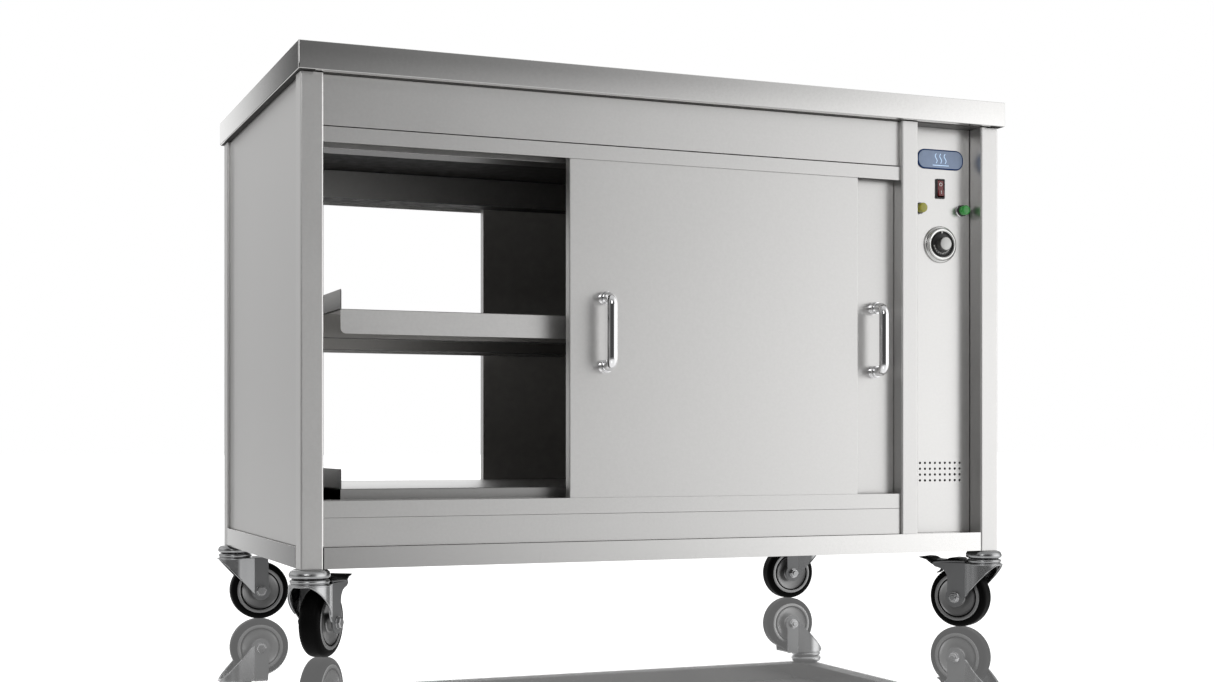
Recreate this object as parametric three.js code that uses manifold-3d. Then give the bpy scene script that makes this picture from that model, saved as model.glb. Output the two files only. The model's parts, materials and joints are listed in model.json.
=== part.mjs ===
// Mobile hot cupboard: a pass-through food holding cabinet on castors, with sliding doors front and rear.
// Millimetres, +Z up. The front faces -Y. The origin is on the floor, under the middle of the whole outline.
import * as THREE from 'three';
import { mergeVertices } from 'three/addons/utils/BufferGeometryUtils.js';
import Module from 'manifold-3d';

const wasm = await Module();
wasm.setup();

// ---------------------------------------------------------------- driving dimensions

const GAP = 0.3;                    // left between pieces that touch
const SHEET = 1.5;                  // folded stainless sheet

const BODY_WIDTH = 1208.4;          // across the legs
const BODY_DEPTH = 668;
const BODY_CENTRE_Y = 11;           // the front handles project, so the body sits behind the origin
const BODY_RISE = 3.5;              // heights of the body are given from a datum this far above the floor
const LEG_SIDE = 34.5;
const LEG_CORNER = 3;
const LEG_BOTTOM = 131;
const WORKTOP = { width: 1220, front: 13.5, rear: 13.5, bottom: 860, top: 900, edge: 1.5 };
const PACKING = { height: 2.2, inset: 4 };  // a set-back step under the worktop, which leaves a shadow line

const BASE_RAIL_TOP = 162.5;
const LOWER_PANEL_TOP = 206;
const BOTTOM_TRACK_LIP = 230.6;
const HEADER_BOTTOM = 758;
const HEADER_TOP = 780.8;
const FASCIA_SEAM = 2;

const POST_LEFT = 412.1;            // the post divides the doors from the control column
const POST_RIGHT = 444.5;

const RECESS = { side: 5, fascia: 9, header: 5.6, lower: 5.3, control: 34.3 };
const SIDE_PANEL_THICK = 26;
const COLUMN_RETURN = 20;           // folded edges of the control panel and of the cover behind the column

const DOOR = { width: 514.4, thick: 17.4, bottom: 210, top: 776, outer: 7.4, inner: 25.2, corner: 1.5 };
const FRONT_LEFT_DOOR_OPEN = 387;   // how far each left-hand door stands open
const REAR_LEFT_DOOR_OPEN = 446;
const HANDLE = { z: 488.7, spacing: 107, rod: 8, boss: 10.2, bossLength: 14, standoff: 35.4, bend: 13 };
const FRONT_LEFT_HANDLE_X = -124.9;
const FRONT_RIGHT_HANDLE_X = 371.4;
const PULL = { width: 30, height: 110, depth: 9, inset: 45 };

const SHELF = { left: -530.9, right: 375, half: 273.8, endFlange: 30, lip: 37, corner: 8 };
const MID_SHELF_TOP = 517.8;
const BOTTOM_SHELF_TOP = 246.7;
const BEARER_Y = 164;               // the two bearers of the shelf frame, either side of the middle
const CEILING_BOTTOM = 808;

const CONTROL_X = 509.5;            // the middle of the column of controls
const SWITCH = { width: 17, height: 34, z: 753, proud: 2.4 };
const LAMP = { z: 717.2, offset: 43, lens: 8, collar: 9.8, lensProud: 16.5, collarProud: 4.5 };
const THERMOSTAT = { z: 657, outer: 31.5, ring: 27, bore: 22, height: 8, dial: 19.4, knob: 11, knobProud: 20 };
const VENT = { z: 266.6, columns: 9, rows: 4, pitch: 10, radius: 2 };
const FAN = { z: 365, y: 0, duct: 60, housing: 72, length: 46, rotor: 52 };
const GLAND = { x: 505, z: 236, radius: 11, proud: 12 };

const CASTOR_HEIGHT = LEG_BOTTOM + BODY_RISE;
const WHEEL = { radius: 52, tread: 16.5, hub: 41.5, boss: 22, trail: 42.5 };
const AXLE_RADIUS = 5;
const FORK = { skirt: 31.8, wall: 2.5, plateIn: 24.5, plateOut: 27, end: 16.7, crown: 109.5, top: 119.6 };
const SKIRT_CUT = { height: 79.5, slope: 1.06 };  // the lower edge of the fork: height on the stem axis, and fall
const PEDAL_HALF_WIDTH = 22;
const CASTOR_HEADINGS = {           // degrees from +X to the way each wheel trails
  front_left: 54.2,
  front_right: 122.6,
  rear_left: -1.9,
  rear_right: 179,
};

// ---------------------------------------------------------------- materials

const steel = () => new THREE.MeshStandardMaterial({ color: 0xb9b9b8, roughness: 0.35, metalness: 1 });
const innerSteel = () => new THREE.MeshStandardMaterial({ color: 0x8c8c8a, roughness: 0.45, metalness: 1 });
const chrome = () => new THREE.MeshStandardMaterial({ color: 0xe2e2e4, roughness: 0.08, metalness: 1 });
const zinc = () => new THREE.MeshStandardMaterial({ color: 0xa8a9aa, roughness: 0.3, metalness: 1 });
const blackPlastic = () => new THREE.MeshStandardMaterial({ color: 0x111111, roughness: 0.45, metalness: 0 });
const rubber = () => new THREE.MeshStandardMaterial({ color: 0x141414, roughness: 0.6, metalness: 0 });
const greyPlastic = () => new THREE.MeshStandardMaterial({ color: 0x777777, roughness: 0.5, metalness: 0 });
const tinted = (color) => new THREE.MeshStandardMaterial({ color, roughness: 0.25, metalness: 0 });

// ---------------------------------------------------------------- geometry helpers

const HALF_X = BODY_WIDTH / 2;
const HALF_Y = BODY_DEPTH / 2;
const LEG_INNER_X = HALF_X - LEG_SIDE;
const LEG_INNER_Y = HALF_Y - LEG_SIDE;
const BAY_LEFT = -LEG_INNER_X + GAP;
const BAY_RIGHT = POST_LEFT - GAP;
const COLUMN_LEFT = POST_RIGHT + GAP;
const COLUMN_RIGHT = LEG_INNER_X - GAP;
const BODY_TOP = WORKTOP.bottom - PACKING.height - GAP;

function box(x0, x1, y0, y1, z0, z1) {
  const geometry = new THREE.BoxGeometry(x1 - x0, y1 - y0, z1 - z0);
  return geometry.translate((x0 + x1) / 2, (y0 + y1) / 2, (z0 + z1) / 2);
}

function outline(points) {
  return new THREE.Shape(points.map(([x, y]) => new THREE.Vector2(x, y)));
}

function roundedRectangle(width, height, radius, target = new THREE.Shape()) {
  const x = width / 2;
  const y = height / 2;
  target.moveTo(x, -y + radius);
  target.lineTo(x, y - radius);
  target.absarc(x - radius, y - radius, radius, 0, Math.PI / 2);
  target.lineTo(-x + radius, y);
  target.absarc(-x + radius, y - radius, radius, Math.PI / 2, Math.PI);
  target.lineTo(-x, -y + radius);
  target.absarc(-x + radius, -y + radius, radius, Math.PI, Math.PI * 1.5);
  target.lineTo(x - radius, -y);
  target.absarc(x - radius, -y + radius, radius, Math.PI * 1.5, Math.PI * 2);
  return target;
}

// Extrudes an X-Y outline upwards from z0 to z1.
function upright(shape, z0, z1, curveSegments = 3) {
  const settings = { depth: z1 - z0, bevelEnabled: false, curveSegments };
  return new THREE.ExtrudeGeometry(shape, settings).translate(0, 0, z0);
}

// Extrudes a Y-Z outline along X.
function alongX(shape, x0, x1, curveSegments = 3) {
  const geometry = new THREE.ExtrudeGeometry(shape, { depth: x1 - x0, bevelEnabled: false, curveSegments });
  const turn = new THREE.Matrix4().set(0, 0, 1, x0, 1, 0, 0, 0, 0, 1, 0, 0, 0, 0, 0, 1);
  return geometry.applyMatrix4(turn);
}

// Extrudes an X-Z outline along Y.
function alongY(shape, y0, y1, curveSegments = 6) {
  const geometry = new THREE.ExtrudeGeometry(shape, { depth: y1 - y0, bevelEnabled: false, curveSegments });
  const turn = new THREE.Matrix4().set(1, 0, 0, 0, 0, 0, -1, y1, 0, 1, 0, 0, 0, 0, 0, 1);
  return geometry.applyMatrix4(turn);
}

// Turns a [radius, height] profile about the upright axis.
function turned(profile, segments) {
  const spun = new THREE.LatheGeometry(profile.map(([r, h]) => new THREE.Vector2(r, h)), segments);
  return spun.rotateX(Math.PI / 2);
}

// Turns a [radius, distance out of the panel] profile about an axis that points out of the front.
function turnedToFront(profile, segments, x, y, z) {
  return turned(profile, segments).rotateX(Math.PI / 2).translate(x, y, z);
}

function cylinder(radius, from, to, segments) {
  return turned([[0, from], [radius, from], [radius, to], [0, to]], segments);
}

function cylinderAlongY(radius, from, to, segments, x, z) {
  return cylinder(radius, from, to, segments).rotateX(-Math.PI / 2).translate(x, 0, z);
}

function solid(geometry) {
  const bare = geometry.clone();
  bare.deleteAttribute('normal');
  bare.deleteAttribute('uv');
  const merged = mergeVertices(bare, 1e-4);
  const vertProperties = new Float32Array(merged.attributes.position.array);
  const triVerts = new Uint32Array(merged.index.array);
  return new wasm.Manifold(new wasm.Mesh({ numProp: 3, vertProperties, triVerts }));
}

function surface(manifold) {
  const mesh = manifold.getMesh();
  const geometry = new THREE.BufferGeometry();
  geometry.setAttribute('position', new THREE.BufferAttribute(new Float32Array(mesh.vertProperties), 3));
  geometry.setIndex(new THREE.BufferAttribute(new Uint32Array(mesh.triVerts), 1));
  return geometry;
}

function joined(...geometries) {
  return surface(geometries.map(solid).reduce((whole, piece) => whole.add(piece)));
}

function cut(geometry, ...tools) {
  return surface(tools.map(solid).reduce((whole, tool) => whole.subtract(tool), solid(geometry)));
}

const cabinet = new THREE.Group();
cabinet.position.set(0, BODY_CENTRE_Y, BODY_RISE);

function add(name, geometry, material, parent = cabinet) {
  const mesh = new THREE.Mesh(geometry, material);
  mesh.name = name;
  parent.add(mesh);
  return mesh;
}

// Pieces of the front are drawn at their depth behind the front leg faces, and the rear ones are mirrored.
// A mirrored outline is walked the other way round, which THREE.Shape corrects by itself.
const SIDES = { front: -1, rear: 1 };

function depthY(side, depth) {
  return SIDES[side] * (HALF_Y - depth);
}

function sheetAlongX(side, profile, x0, x1) {
  return alongX(outline(profile.map(([depth, z]) => [depthY(side, depth), z])), x0, x1);
}

// ---------------------------------------------------------------- frame and worktop

function squareTube(side, length) {
  const section = roundedRectangle(side, side, LEG_CORNER);
  const bore = roundedRectangle(side - 2 * SHEET, side - 2 * SHEET, LEG_CORNER / 2, new THREE.Path());
  section.holes.push(bore);
  return upright(section, 0, length, 2);
}

function addLegs() {
  for (const side of ['front', 'rear']) {
    for (const [hand, sign] of [['left', -1], ['right', 1]]) {
      const leg = add(`leg_${side}_${hand}`, squareTube(LEG_SIDE, BODY_TOP - LEG_BOTTOM), steel());
      leg.position.set(sign * (HALF_X - LEG_SIDE / 2), SIDES[side] * (HALF_Y - LEG_SIDE / 2), LEG_BOTTOM);
    }
  }
}

function addPosts() {
  for (const side of ['front', 'rear']) {
    const width = POST_RIGHT - POST_LEFT;
    const section = roundedRectangle(width, LEG_SIDE, LEG_CORNER);
    section.holes.push(roundedRectangle(width - 2 * SHEET, LEG_SIDE - 2 * SHEET, 1, new THREE.Path()));
    const foot = BASE_RAIL_TOP + GAP;
    const post = add(`post_${side}`, upright(section, 0, BODY_TOP - foot, 2), steel());
    post.position.set((POST_LEFT + POST_RIGHT) / 2, SIDES[side] * (HALF_Y - LEG_SIDE / 2), foot);
  }
}

// Four rails welded in a ring between the legs, notched round them at the corners.
function addBaseFrame() {
  const ring = box(-HALF_X, HALF_X, -HALF_Y, HALF_Y, LEG_BOTTOM, BASE_RAIL_TOP);
  const middle = box(-LEG_INNER_X, LEG_INNER_X, -LEG_INNER_Y, LEG_INNER_Y, 0, BASE_RAIL_TOP * 2);
  const notch = LEG_SIDE + GAP;
  const corners = [];
  for (const sx of [-1, 1]) {
    for (const sy of [-1, 1]) {
      const tool = new THREE.BoxGeometry(2 * notch, 2 * notch, BASE_RAIL_TOP * 2);
      corners.push(tool.translate(sx * HALF_X, sy * HALF_Y, LEG_BOTTOM));
    }
  }
  // A web inside each corner carries the weld from rail to rail past the leg.
  const webs = [];
  const reach = LEG_SIDE + 24;
  for (const sx of [-1, 1]) {
    for (const sy of [-1, 1]) {
      const corner = outline([
        [sx * (LEG_INNER_X - GAP), sy * (HALF_Y - reach)],
        [sx * (LEG_INNER_X + 2), sy * (HALF_Y - reach)],
        [sx * (LEG_INNER_X + 2), sy * (LEG_INNER_Y - GAP)],
        [sx * (LEG_INNER_X - GAP), sy * (LEG_INNER_Y - GAP)],
        [sx * (LEG_INNER_X - GAP), sy * (LEG_INNER_Y + 2)],
        [sx * (HALF_X - reach), sy * (LEG_INNER_Y + 2)],
        [sx * (HALF_X - reach), sy * (LEG_INNER_Y - 6)],
        [sx * (LEG_INNER_X - 6), sy * (LEG_INNER_Y - 6)],
        [sx * (LEG_INNER_X - 6), sy * (HALF_Y - reach)],
      ]);
      webs.push(upright(corner, LEG_BOTTOM, BASE_RAIL_TOP));
    }
  }
  const rails = cut(ring, middle, ...corners);
  add('base_frame', joined(rails, ...webs), steel());
}

function addWorktop() {
  const { width, front, rear, bottom, top, edge } = WORKTOP;
  const depth = BODY_DEPTH + front + rear;
  const slab = upright(roundedRectangle(width, depth, edge), bottom, top, 2);
  const { height, inset } = PACKING;
  const x = HALF_X - inset;
  const y = HALF_Y - inset;
  const packing = box(-x, x, -y, y, bottom - height, bottom + height);
  add('worktop', joined(slab.translate(0, (rear - front) / 2, 0), packing), steel());
}

// ---------------------------------------------------------------- panels

function addSidePanels() {
  for (const [hand, sign] of [['left', -1], ['right', 1]]) {
    const outer = sign * (HALF_X - RECESS.side);
    const inner = outer - sign * SIDE_PANEL_THICK;
    const y = LEG_INNER_Y - GAP;
    const [x0, x1] = [Math.min(outer, inner), Math.max(outer, inner)];
    add(`side_panel_${hand}`, box(x0, x1, -y, y, BASE_RAIL_TOP + GAP, BODY_TOP), steel());
  }
}

function channel(depth, z0, z1, reach) {
  return [
    [depth, z0],
    [depth + reach, z0],
    [depth + reach, z0 + SHEET],
    [depth + SHEET, z0 + SHEET],
    [depth + SHEET, z1 - SHEET],
    [depth + reach, z1 - SHEET],
    [depth + reach, z1],
    [depth, z1],
  ];
}

function addFasciasAndTracks() {
  const trackDepth = 57.5;
  const headerBack = 104;
  for (const side of ['front', 'rear']) {
    const fascia = channel(RECESS.fascia, HEADER_TOP + FASCIA_SEAM, BODY_TOP, 20);
    add(`upper_fascia_${side}`, sheetAlongX(side, fascia, BAY_LEFT, BAY_RIGHT), steel());

    const topTrack = [
      [RECESS.header, HEADER_BOTTOM],
      [RECESS.header + SHEET, HEADER_BOTTOM],
      [RECESS.header + SHEET, HEADER_TOP - SHEET],
      [trackDepth - SHEET, HEADER_TOP - SHEET],
      [trackDepth - SHEET, HEADER_BOTTOM],
      [headerBack, HEADER_BOTTOM],
      [headerBack, CEILING_BOTTOM - GAP],
      [headerBack - SHEET, CEILING_BOTTOM - GAP],
      [headerBack - SHEET, HEADER_BOTTOM + SHEET],
      [trackDepth, HEADER_BOTTOM + SHEET],
      [trackDepth, HEADER_TOP],
      [RECESS.header, HEADER_TOP],
    ];
    add(`top_track_${side}`, sheetAlongX(side, topTrack, BAY_LEFT, BAY_RIGHT), steel());

    const bottomTrack = [
      [RECESS.lower, LOWER_PANEL_TOP],
      [trackDepth, LOWER_PANEL_TOP],
      [trackDepth, BOTTOM_TRACK_LIP],
      [trackDepth - SHEET, BOTTOM_TRACK_LIP],
      [trackDepth - SHEET, LOWER_PANEL_TOP + SHEET],
      [RECESS.lower + SHEET, LOWER_PANEL_TOP + SHEET],
      [RECESS.lower + SHEET, BOTTOM_TRACK_LIP],
      [RECESS.lower, BOTTOM_TRACK_LIP],
    ];
    add(`bottom_track_${side}`, sheetAlongX(side, bottomTrack, BAY_LEFT, BAY_RIGHT), steel());

    const lower = channel(RECESS.lower, BASE_RAIL_TOP + GAP, LOWER_PANEL_TOP - GAP, 20);
    add(`lower_panel_${side}`, sheetAlongX(side, lower, BAY_LEFT, BAY_RIGHT), steel());
  }
}

function addChamber() {
  const y = LEG_INNER_Y - GAP;
  const floorTop = LOWER_PANEL_TOP - GAP;
  const floorBottom = BASE_RAIL_TOP + GAP;
  const chamberFloor = box(BAY_LEFT, POST_RIGHT, -y, y, floorBottom, floorTop);
  const columnFloorFront = -HALF_Y + RECESS.control + COLUMN_RETURN + GAP;
  const columnFloor = box(POST_LEFT, LEG_INNER_X, columnFloorFront, y, floorBottom, floorTop);
  add('chamber_floor', joined(chamberFloor, columnFloor), innerSteel());
  add('chamber_ceiling', box(BAY_LEFT, BAY_RIGHT, -y, y, CEILING_BOTTOM, BODY_TOP), innerSteel());

  const wall = box(POST_LEFT, POST_RIGHT, -y, y, LOWER_PANEL_TOP, BODY_TOP);
  const duct = cylinder(FAN.duct, 0, 100, 24).rotateY(Math.PI / 2).translate(POST_LEFT - 30, FAN.y, FAN.z);
  add('partition', cut(wall, duct), innerSteel());
}

function shelfPan(top, lip) {
  const { left, right, half, endFlange, corner } = SHELF;
  const deck = box(left, right, -half, half, top - SHEET, top);
  const lipFront = outline([
    [left + corner, top - lip],
    [right - corner, top - lip],
    [right, top - lip + corner],
    [right, top],
    [left, top],
    [left, top - lip + corner],
  ]);
  const frontLip = alongY(lipFront, -half, -half + SHEET);
  const rearLip = alongY(lipFront, half - SHEET, half);
  const end = outline([
    [-half, top - SHEET],
    [half, top - SHEET],
    [half, top + endFlange - corner / 2],
    [half - corner / 2, top + endFlange],
    [-half + corner / 2, top + endFlange],
    [-half, top + endFlange - corner / 2],
  ]);
  const leftEnd = alongX(end, left, left + SHEET);
  const rightEnd = alongX(end, right - SHEET, right);
  return joined(deck, frontLip, rearLip, leftEnd, rightEnd);
}

function addShelves() {
  add('shelf_middle', shelfPan(MID_SHELF_TOP, SHELF.lip), innerSteel());
  add('shelf_bottom', shelfPan(BOTTOM_SHELF_TOP, BOTTOM_SHELF_TOP - LOWER_PANEL_TOP), innerSteel());

  const top = MID_SHELF_TOP - SHEET - GAP;
  const bottom = top - SHELF.lip + SHEET;
  const barHalf = 12;
  const cleat = 20;
  const bar = (y) => box(BAY_LEFT, BAY_RIGHT, y - barHalf, y + barHalf, bottom, top);
  const end = (x0, x1) => box(x0, x1, -BEARER_Y, BEARER_Y, bottom, top);
  const ends = [end(BAY_LEFT, BAY_LEFT + cleat), end(BAY_RIGHT - cleat, BAY_RIGHT)];
  add('shelf_frame', joined(bar(-BEARER_Y), bar(BEARER_Y), ...ends), innerSteel());
}

// ---------------------------------------------------------------- doors

function doorSlab(side, depth, left) {
  const slab = upright(roundedRectangle(DOOR.width, DOOR.thick, DOOR.corner), DOOR.bottom, DOOR.top, 2);
  const y = depthY(side, depth + DOOR.thick / 2);
  return slab.translate(left + DOOR.width / 2, y, 0);
}

function dHandle(x, doorFace) {
  const { z, spacing, rod, boss, bossLength, standoff, bend } = HANDLE;
  const start = doorFace - GAP;
  const crest = doorFace - standoff;
  const low = z - spacing / 2;
  const high = z + spacing / 2;
  const at = (y, height) => new THREE.Vector3(x, y, height);
  const path = new THREE.CurvePath();
  path.add(new THREE.LineCurve3(at(start - 1, low), at(crest + bend, low)));
  path.add(new THREE.QuadraticBezierCurve3(at(crest + bend, low), at(crest, low), at(crest, low + bend)));
  path.add(new THREE.LineCurve3(at(crest, low + bend), at(crest, high - bend)));
  path.add(new THREE.QuadraticBezierCurve3(at(crest, high - bend), at(crest, high), at(crest + bend, high)));
  path.add(new THREE.LineCurve3(at(crest + bend, high), at(start - 1, high)));
  const section = new THREE.Shape().absarc(0, 0, rod, 0, Math.PI * 2);
  const bar = new THREE.ExtrudeGeometry(section, { steps: 24, curveSegments: 5, extrudePath: path });
  const bosses = [low, high].map((height) => {
    return cylinderAlongY(boss, start - bossLength, start, 14, x, height);
  });
  return joined(bar, ...bosses);
}

function flushPocket(x) {
  const face = depthY('rear', 0);
  const low = HANDLE.z - PULL.height / 2;
  return (depth) => box(
    x - PULL.width / 2, x + PULL.width / 2,
    face - depth - PULL.depth, face - depth + 1,
    low, low + PULL.height,
  );
}

function addDoors() {
  const closedLeft = -LEG_INNER_X + GAP;
  const closedRight = POST_LEFT - GAP - DOOR.width;
  const frontLeft = closedLeft + FRONT_LEFT_DOOR_OPEN;
  const rearLeft = closedLeft + REAR_LEFT_DOOR_OPEN;
  add('door_front_left', doorSlab('front', DOOR.outer, frontLeft), steel());
  add('door_front_right', doorSlab('front', DOOR.inner, closedRight), steel());
  add('handle_front_left', dHandle(FRONT_LEFT_HANDLE_X, depthY('front', DOOR.outer)), chrome());
  add('handle_front_right', dHandle(FRONT_RIGHT_HANDLE_X, depthY('front', DOOR.inner)), chrome());

  const leftPocket = flushPocket(rearLeft + PULL.inset)(DOOR.inner);
  const rightPocket = flushPocket(closedRight + DOOR.width - PULL.inset)(DOOR.outer);
  add('door_rear_left', cut(doorSlab('rear', DOOR.inner, rearLeft), leftPocket), steel());
  add('door_rear_right', cut(doorSlab('rear', DOOR.outer, closedRight), rightPocket), steel());
}

// ---------------------------------------------------------------- control column

const PANEL_Y = -HALF_Y + RECESS.control;

function addControlPanel() {
  const back = COLUMN_RETURN;
  const plate = box(COLUMN_LEFT, COLUMN_RIGHT, PANEL_Y, PANEL_Y + back, BASE_RAIL_TOP + GAP, BODY_TOP);
  const inside = box(
    COLUMN_LEFT + SHEET, COLUMN_RIGHT - SHEET,
    PANEL_Y + SHEET, PANEL_Y + back + 1,
    BASE_RAIL_TOP + GAP + SHEET, BODY_TOP - SHEET,
  );
  const through = [PANEL_Y - 2, PANEL_Y + SHEET + 2];
  const holes = [box(
    CONTROL_X - SWITCH.width / 2 + 1, CONTROL_X + SWITCH.width / 2 - 1,
    through[0], through[1],
    SWITCH.z - SWITCH.height / 2 + 1.5, SWITCH.z + SWITCH.height / 2 - 1.5,
  )];
  for (const sign of [-1, 1]) {
    holes.push(cylinderAlongY(LAMP.lens, ...through, 16, CONTROL_X + sign * LAMP.offset, LAMP.z));
  }
  holes.push(cylinderAlongY(THERMOSTAT.bore, ...through, 20, CONTROL_X, THERMOSTAT.z));
  for (let row = 0; row < VENT.rows; row += 1) {
    for (let column = 0; column < VENT.columns; column += 1) {
      const x = CONTROL_X + (column - (VENT.columns - 1) / 2) * VENT.pitch;
      const z = VENT.z + (row - (VENT.rows - 1) / 2) * VENT.pitch;
      holes.push(cylinderAlongY(VENT.radius, ...through, 6, x, z));
    }
  }
  add('control_panel', cut(plate, inside, ...holes), steel());
}

function addRearCover() {
  const back = COLUMN_RETURN;
  const outer = depthY('rear', RECESS.lower);
  const plate = box(COLUMN_LEFT, COLUMN_RIGHT, outer - back, outer, BASE_RAIL_TOP + GAP, BODY_TOP);
  const inside = box(
    COLUMN_LEFT + SHEET, COLUMN_RIGHT - SHEET,
    outer - back - 1, outer - SHEET,
    BASE_RAIL_TOP + GAP + SHEET, BODY_TOP - SHEET,
  );
  const hole = cylinderAlongY(GLAND.radius - 3, outer - 5, outer + 5, 12, GLAND.x, GLAND.z);
  add('column_rear_cover', cut(plate, inside, hole), steel());

  const nut = cylinderAlongY(GLAND.radius, outer + GAP, outer + GLAND.proud, 6, GLAND.x, GLAND.z);
  const thread = cylinderAlongY(GLAND.radius - 3 - GAP, outer - 14, outer + 1, 12, GLAND.x, GLAND.z);
  const bore = cylinderAlongY(4, outer - 20, outer + 20, 10, GLAND.x, GLAND.z);
  add('cable_gland', cut(joined(nut, thread), bore), blackPlastic());
}

function addSwitch() {
  const { width, height, z, proud } = SWITCH;
  const rim = 2.5;
  const wellDepth = 12;
  const face = PANEL_Y - GAP - proud;
  const frame = box(
    CONTROL_X - width / 2, CONTROL_X + width / 2,
    face, PANEL_Y - GAP,
    z - height / 2, z + height / 2,
  );
  const body = box(
    CONTROL_X - width / 2 + 1.4, CONTROL_X + width / 2 - 1.4,
    face + 1, PANEL_Y + 24,
    z - height / 2 + 2, z + height / 2 - 2,
  );
  const well = box(
    CONTROL_X - width / 2 + rim, CONTROL_X + width / 2 - rim,
    face - 1, face + wellDepth,
    z - height / 2 + rim, z + height / 2 - rim,
  );
  add('switch_housing', cut(joined(frame, body), well), blackPlastic());

  // The rocker tips about a pivot inside the well, and its upper half stands pressed in.
  const reach = height / 2 - rim - 1;
  const crown = 3.6;
  const tilt = THREE.MathUtils.degToRad(8);
  const shape = outline([
    [-crown, 0],
    [-crown - reach * Math.tan(tilt), reach],
    [2, reach - 1.5],
    [6, 0],
    [2, -reach + 1.5],
    [-crown - reach * Math.tan(tilt), -reach],
  ]);
  const half = width / 2 - rim - GAP;
  const rocker = alongX(shape, -half, half).rotateX(-tilt);
  add('switch_rocker', rocker.translate(CONTROL_X, face + crown, z), tinted(0x5e0d10));
}

function addLamps() {
  const { z, offset, lens, collar, lensProud, collarProud } = LAMP;
  for (const [name, sign, colour] of [['yellow', -1, 0x9a9a1e], ['green', 1, 0x1f8a2a]]) {
    const profile = [
      [0, -22],
      [lens - 2, -22],
      [lens - 2, GAP],
      [collar, GAP],
      [collar, collarProud],
      [lens, collarProud],
      [lens, lensProud - 1.5],
      [lens - 1.5, lensProud],
      [0, lensProud],
    ];
    const lamp = turnedToFront(profile, 18, CONTROL_X + sign * offset, PANEL_Y, z);
    add(`pilot_lamp_${name}`, lamp, tinted(colour));
  }
}

function addThermostat() {
  const { z, outer, ring, bore, height, dial, knob, knobProud } = THERMOSTAT;
  const spindle = 3;
  const bezel = [
    [spindle + GAP, -30],
    [bore - 4, -30],
    [bore - 4, GAP],
    [outer, GAP],
    [outer, 3],
    [ring + 1.5, 4.5],
    [ring, height],
    [bore, height],
    [bore, 4],
    [spindle + GAP, 4],
    [spindle + GAP, -30],
  ];
  add('thermostat_bezel', turnedToFront(bezel, 28, CONTROL_X, PANEL_Y, z), chrome());

  const turnPiece = [
    [0, -14],
    [spindle, -14],
    [spindle, 4 + 2 * GAP],
    [dial, 4 + 2 * GAP],
    [dial, height - 1],
    [knob + 0.5, height - 1],
    [knob, knobProud - 1],
    [knob - 1, knobProud],
    [0, knobProud],
  ];
  add('thermostat_knob', turnedToFront(turnPiece, 24, CONTROL_X, PANEL_Y, z), blackPlastic());
}

function addFan() {
  const { y, z, housing, length, rotor } = FAN;
  const face = POST_RIGHT + GAP;
  const turnAlongX = (profile, segments) => turned(profile, segments).rotateY(Math.PI / 2).translate(face, y, z);
  const cup = [
    [FAN.duct + 2, 0],
    [housing, 0],
    [housing, length],
    [26, length],
    [26, length + 40],
    [0, length + 40],
    [0, length - SHEET],
    [housing - 3, length - SHEET],
    [housing - 3, SHEET],
    [FAN.duct + 2, SHEET],
    [FAN.duct + 2, 0],
  ];
  add('fan_housing', turnAlongX(cup, 24), zinc());

  const disc = [[0, length - 6], [rotor, length - 6], [rotor, length - 4], [0, length - 4]];
  const hub = [[0, 8], [12, 8], [12, length - 5], [0, length - 5]];
  const blades = [];
  const bladeCount = 8;
  for (let i = 0; i < bladeCount; i += 1) {
    const blade = box(8, length - 5, -1, 1, rotor - 22, rotor - 2);
    blades.push(blade.rotateX((i * 2 * Math.PI) / bladeCount).translate(face, y, z));
  }
  add('fan_rotor', joined(turnAlongX(disc, 24), turnAlongX(hub, 10), ...blades), innerSteel());
}

// One bent tube lies in a flat hairpin under the bottom shelf.
function addHeatingElement() {
  const z = LOWER_PANEL_TOP + 12;
  const near = BAY_RIGHT - 2;
  const far = -470;
  const legY = 90;
  const bend = 40;
  const at = (x, y) => new THREE.Vector3(x, y, z);
  const path = new THREE.CurvePath();
  path.add(new THREE.LineCurve3(at(near, -legY), at(far + bend, -legY)));
  path.add(new THREE.QuadraticBezierCurve3(at(far + bend, -legY), at(far, -legY), at(far, -legY + bend)));
  path.add(new THREE.LineCurve3(at(far, -legY + bend), at(far, legY - bend)));
  path.add(new THREE.QuadraticBezierCurve3(at(far, legY - bend), at(far, legY), at(far + bend, legY)));
  path.add(new THREE.LineCurve3(at(far + bend, legY), at(near, legY)));
  const section = new THREE.Shape().absarc(0, 0, 4.25, 0, Math.PI * 2);
  const settings = { steps: 32, curveSegments: 3, extrudePath: path };
  add('heating_element', new THREE.ExtrudeGeometry(section, settings), innerSteel());
}

// ---------------------------------------------------------------- castors

const CASTOR_SEGMENTS = 20;

function castorHead() {
  const stem = 11;
  const profile = [
    [0, FORK.top + 2 * GAP],
    [26, FORK.top + 2 * GAP],
    [31.7, 123.5],
    [31.4, 128],
    [26, CASTOR_HEIGHT - GAP],
    [stem, CASTOR_HEIGHT - GAP],
    [stem, CASTOR_HEIGHT + 36],
    [0, CASTOR_HEIGHT + 36],
  ];
  return turned(profile, CASTOR_SEGMENTS);
}

function forkPlate(braked) {
  const { trail, radius } = WHEEL;
  const { end } = FORK;
  const front = 12;
  const top = 112;
  const back = 56.5;
  const shape = new THREE.Shape();
  shape.moveTo(front, top);
  if (braked) {
    for (const [x, z] of [[83, top], [84, 109.5], [80, 104.5], [70, 101.5], [64, 98.5], [59, 92.5]]) {
      shape.lineTo(x, z);
    }
    shape.lineTo(back, 85);
  } else {
    shape.lineTo(54, top);
    shape.lineTo(back, 108);
  }
  const meets = Math.acos((back - trail) / end);
  shape.lineTo(back, radius + end * Math.sin(meets));
  shape.absarc(trail, radius, end, meets, -Math.PI, true);
  shape.lineTo(front, SKIRT_CUT.height - SKIRT_CUT.slope * front);
  return shape;
}

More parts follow.
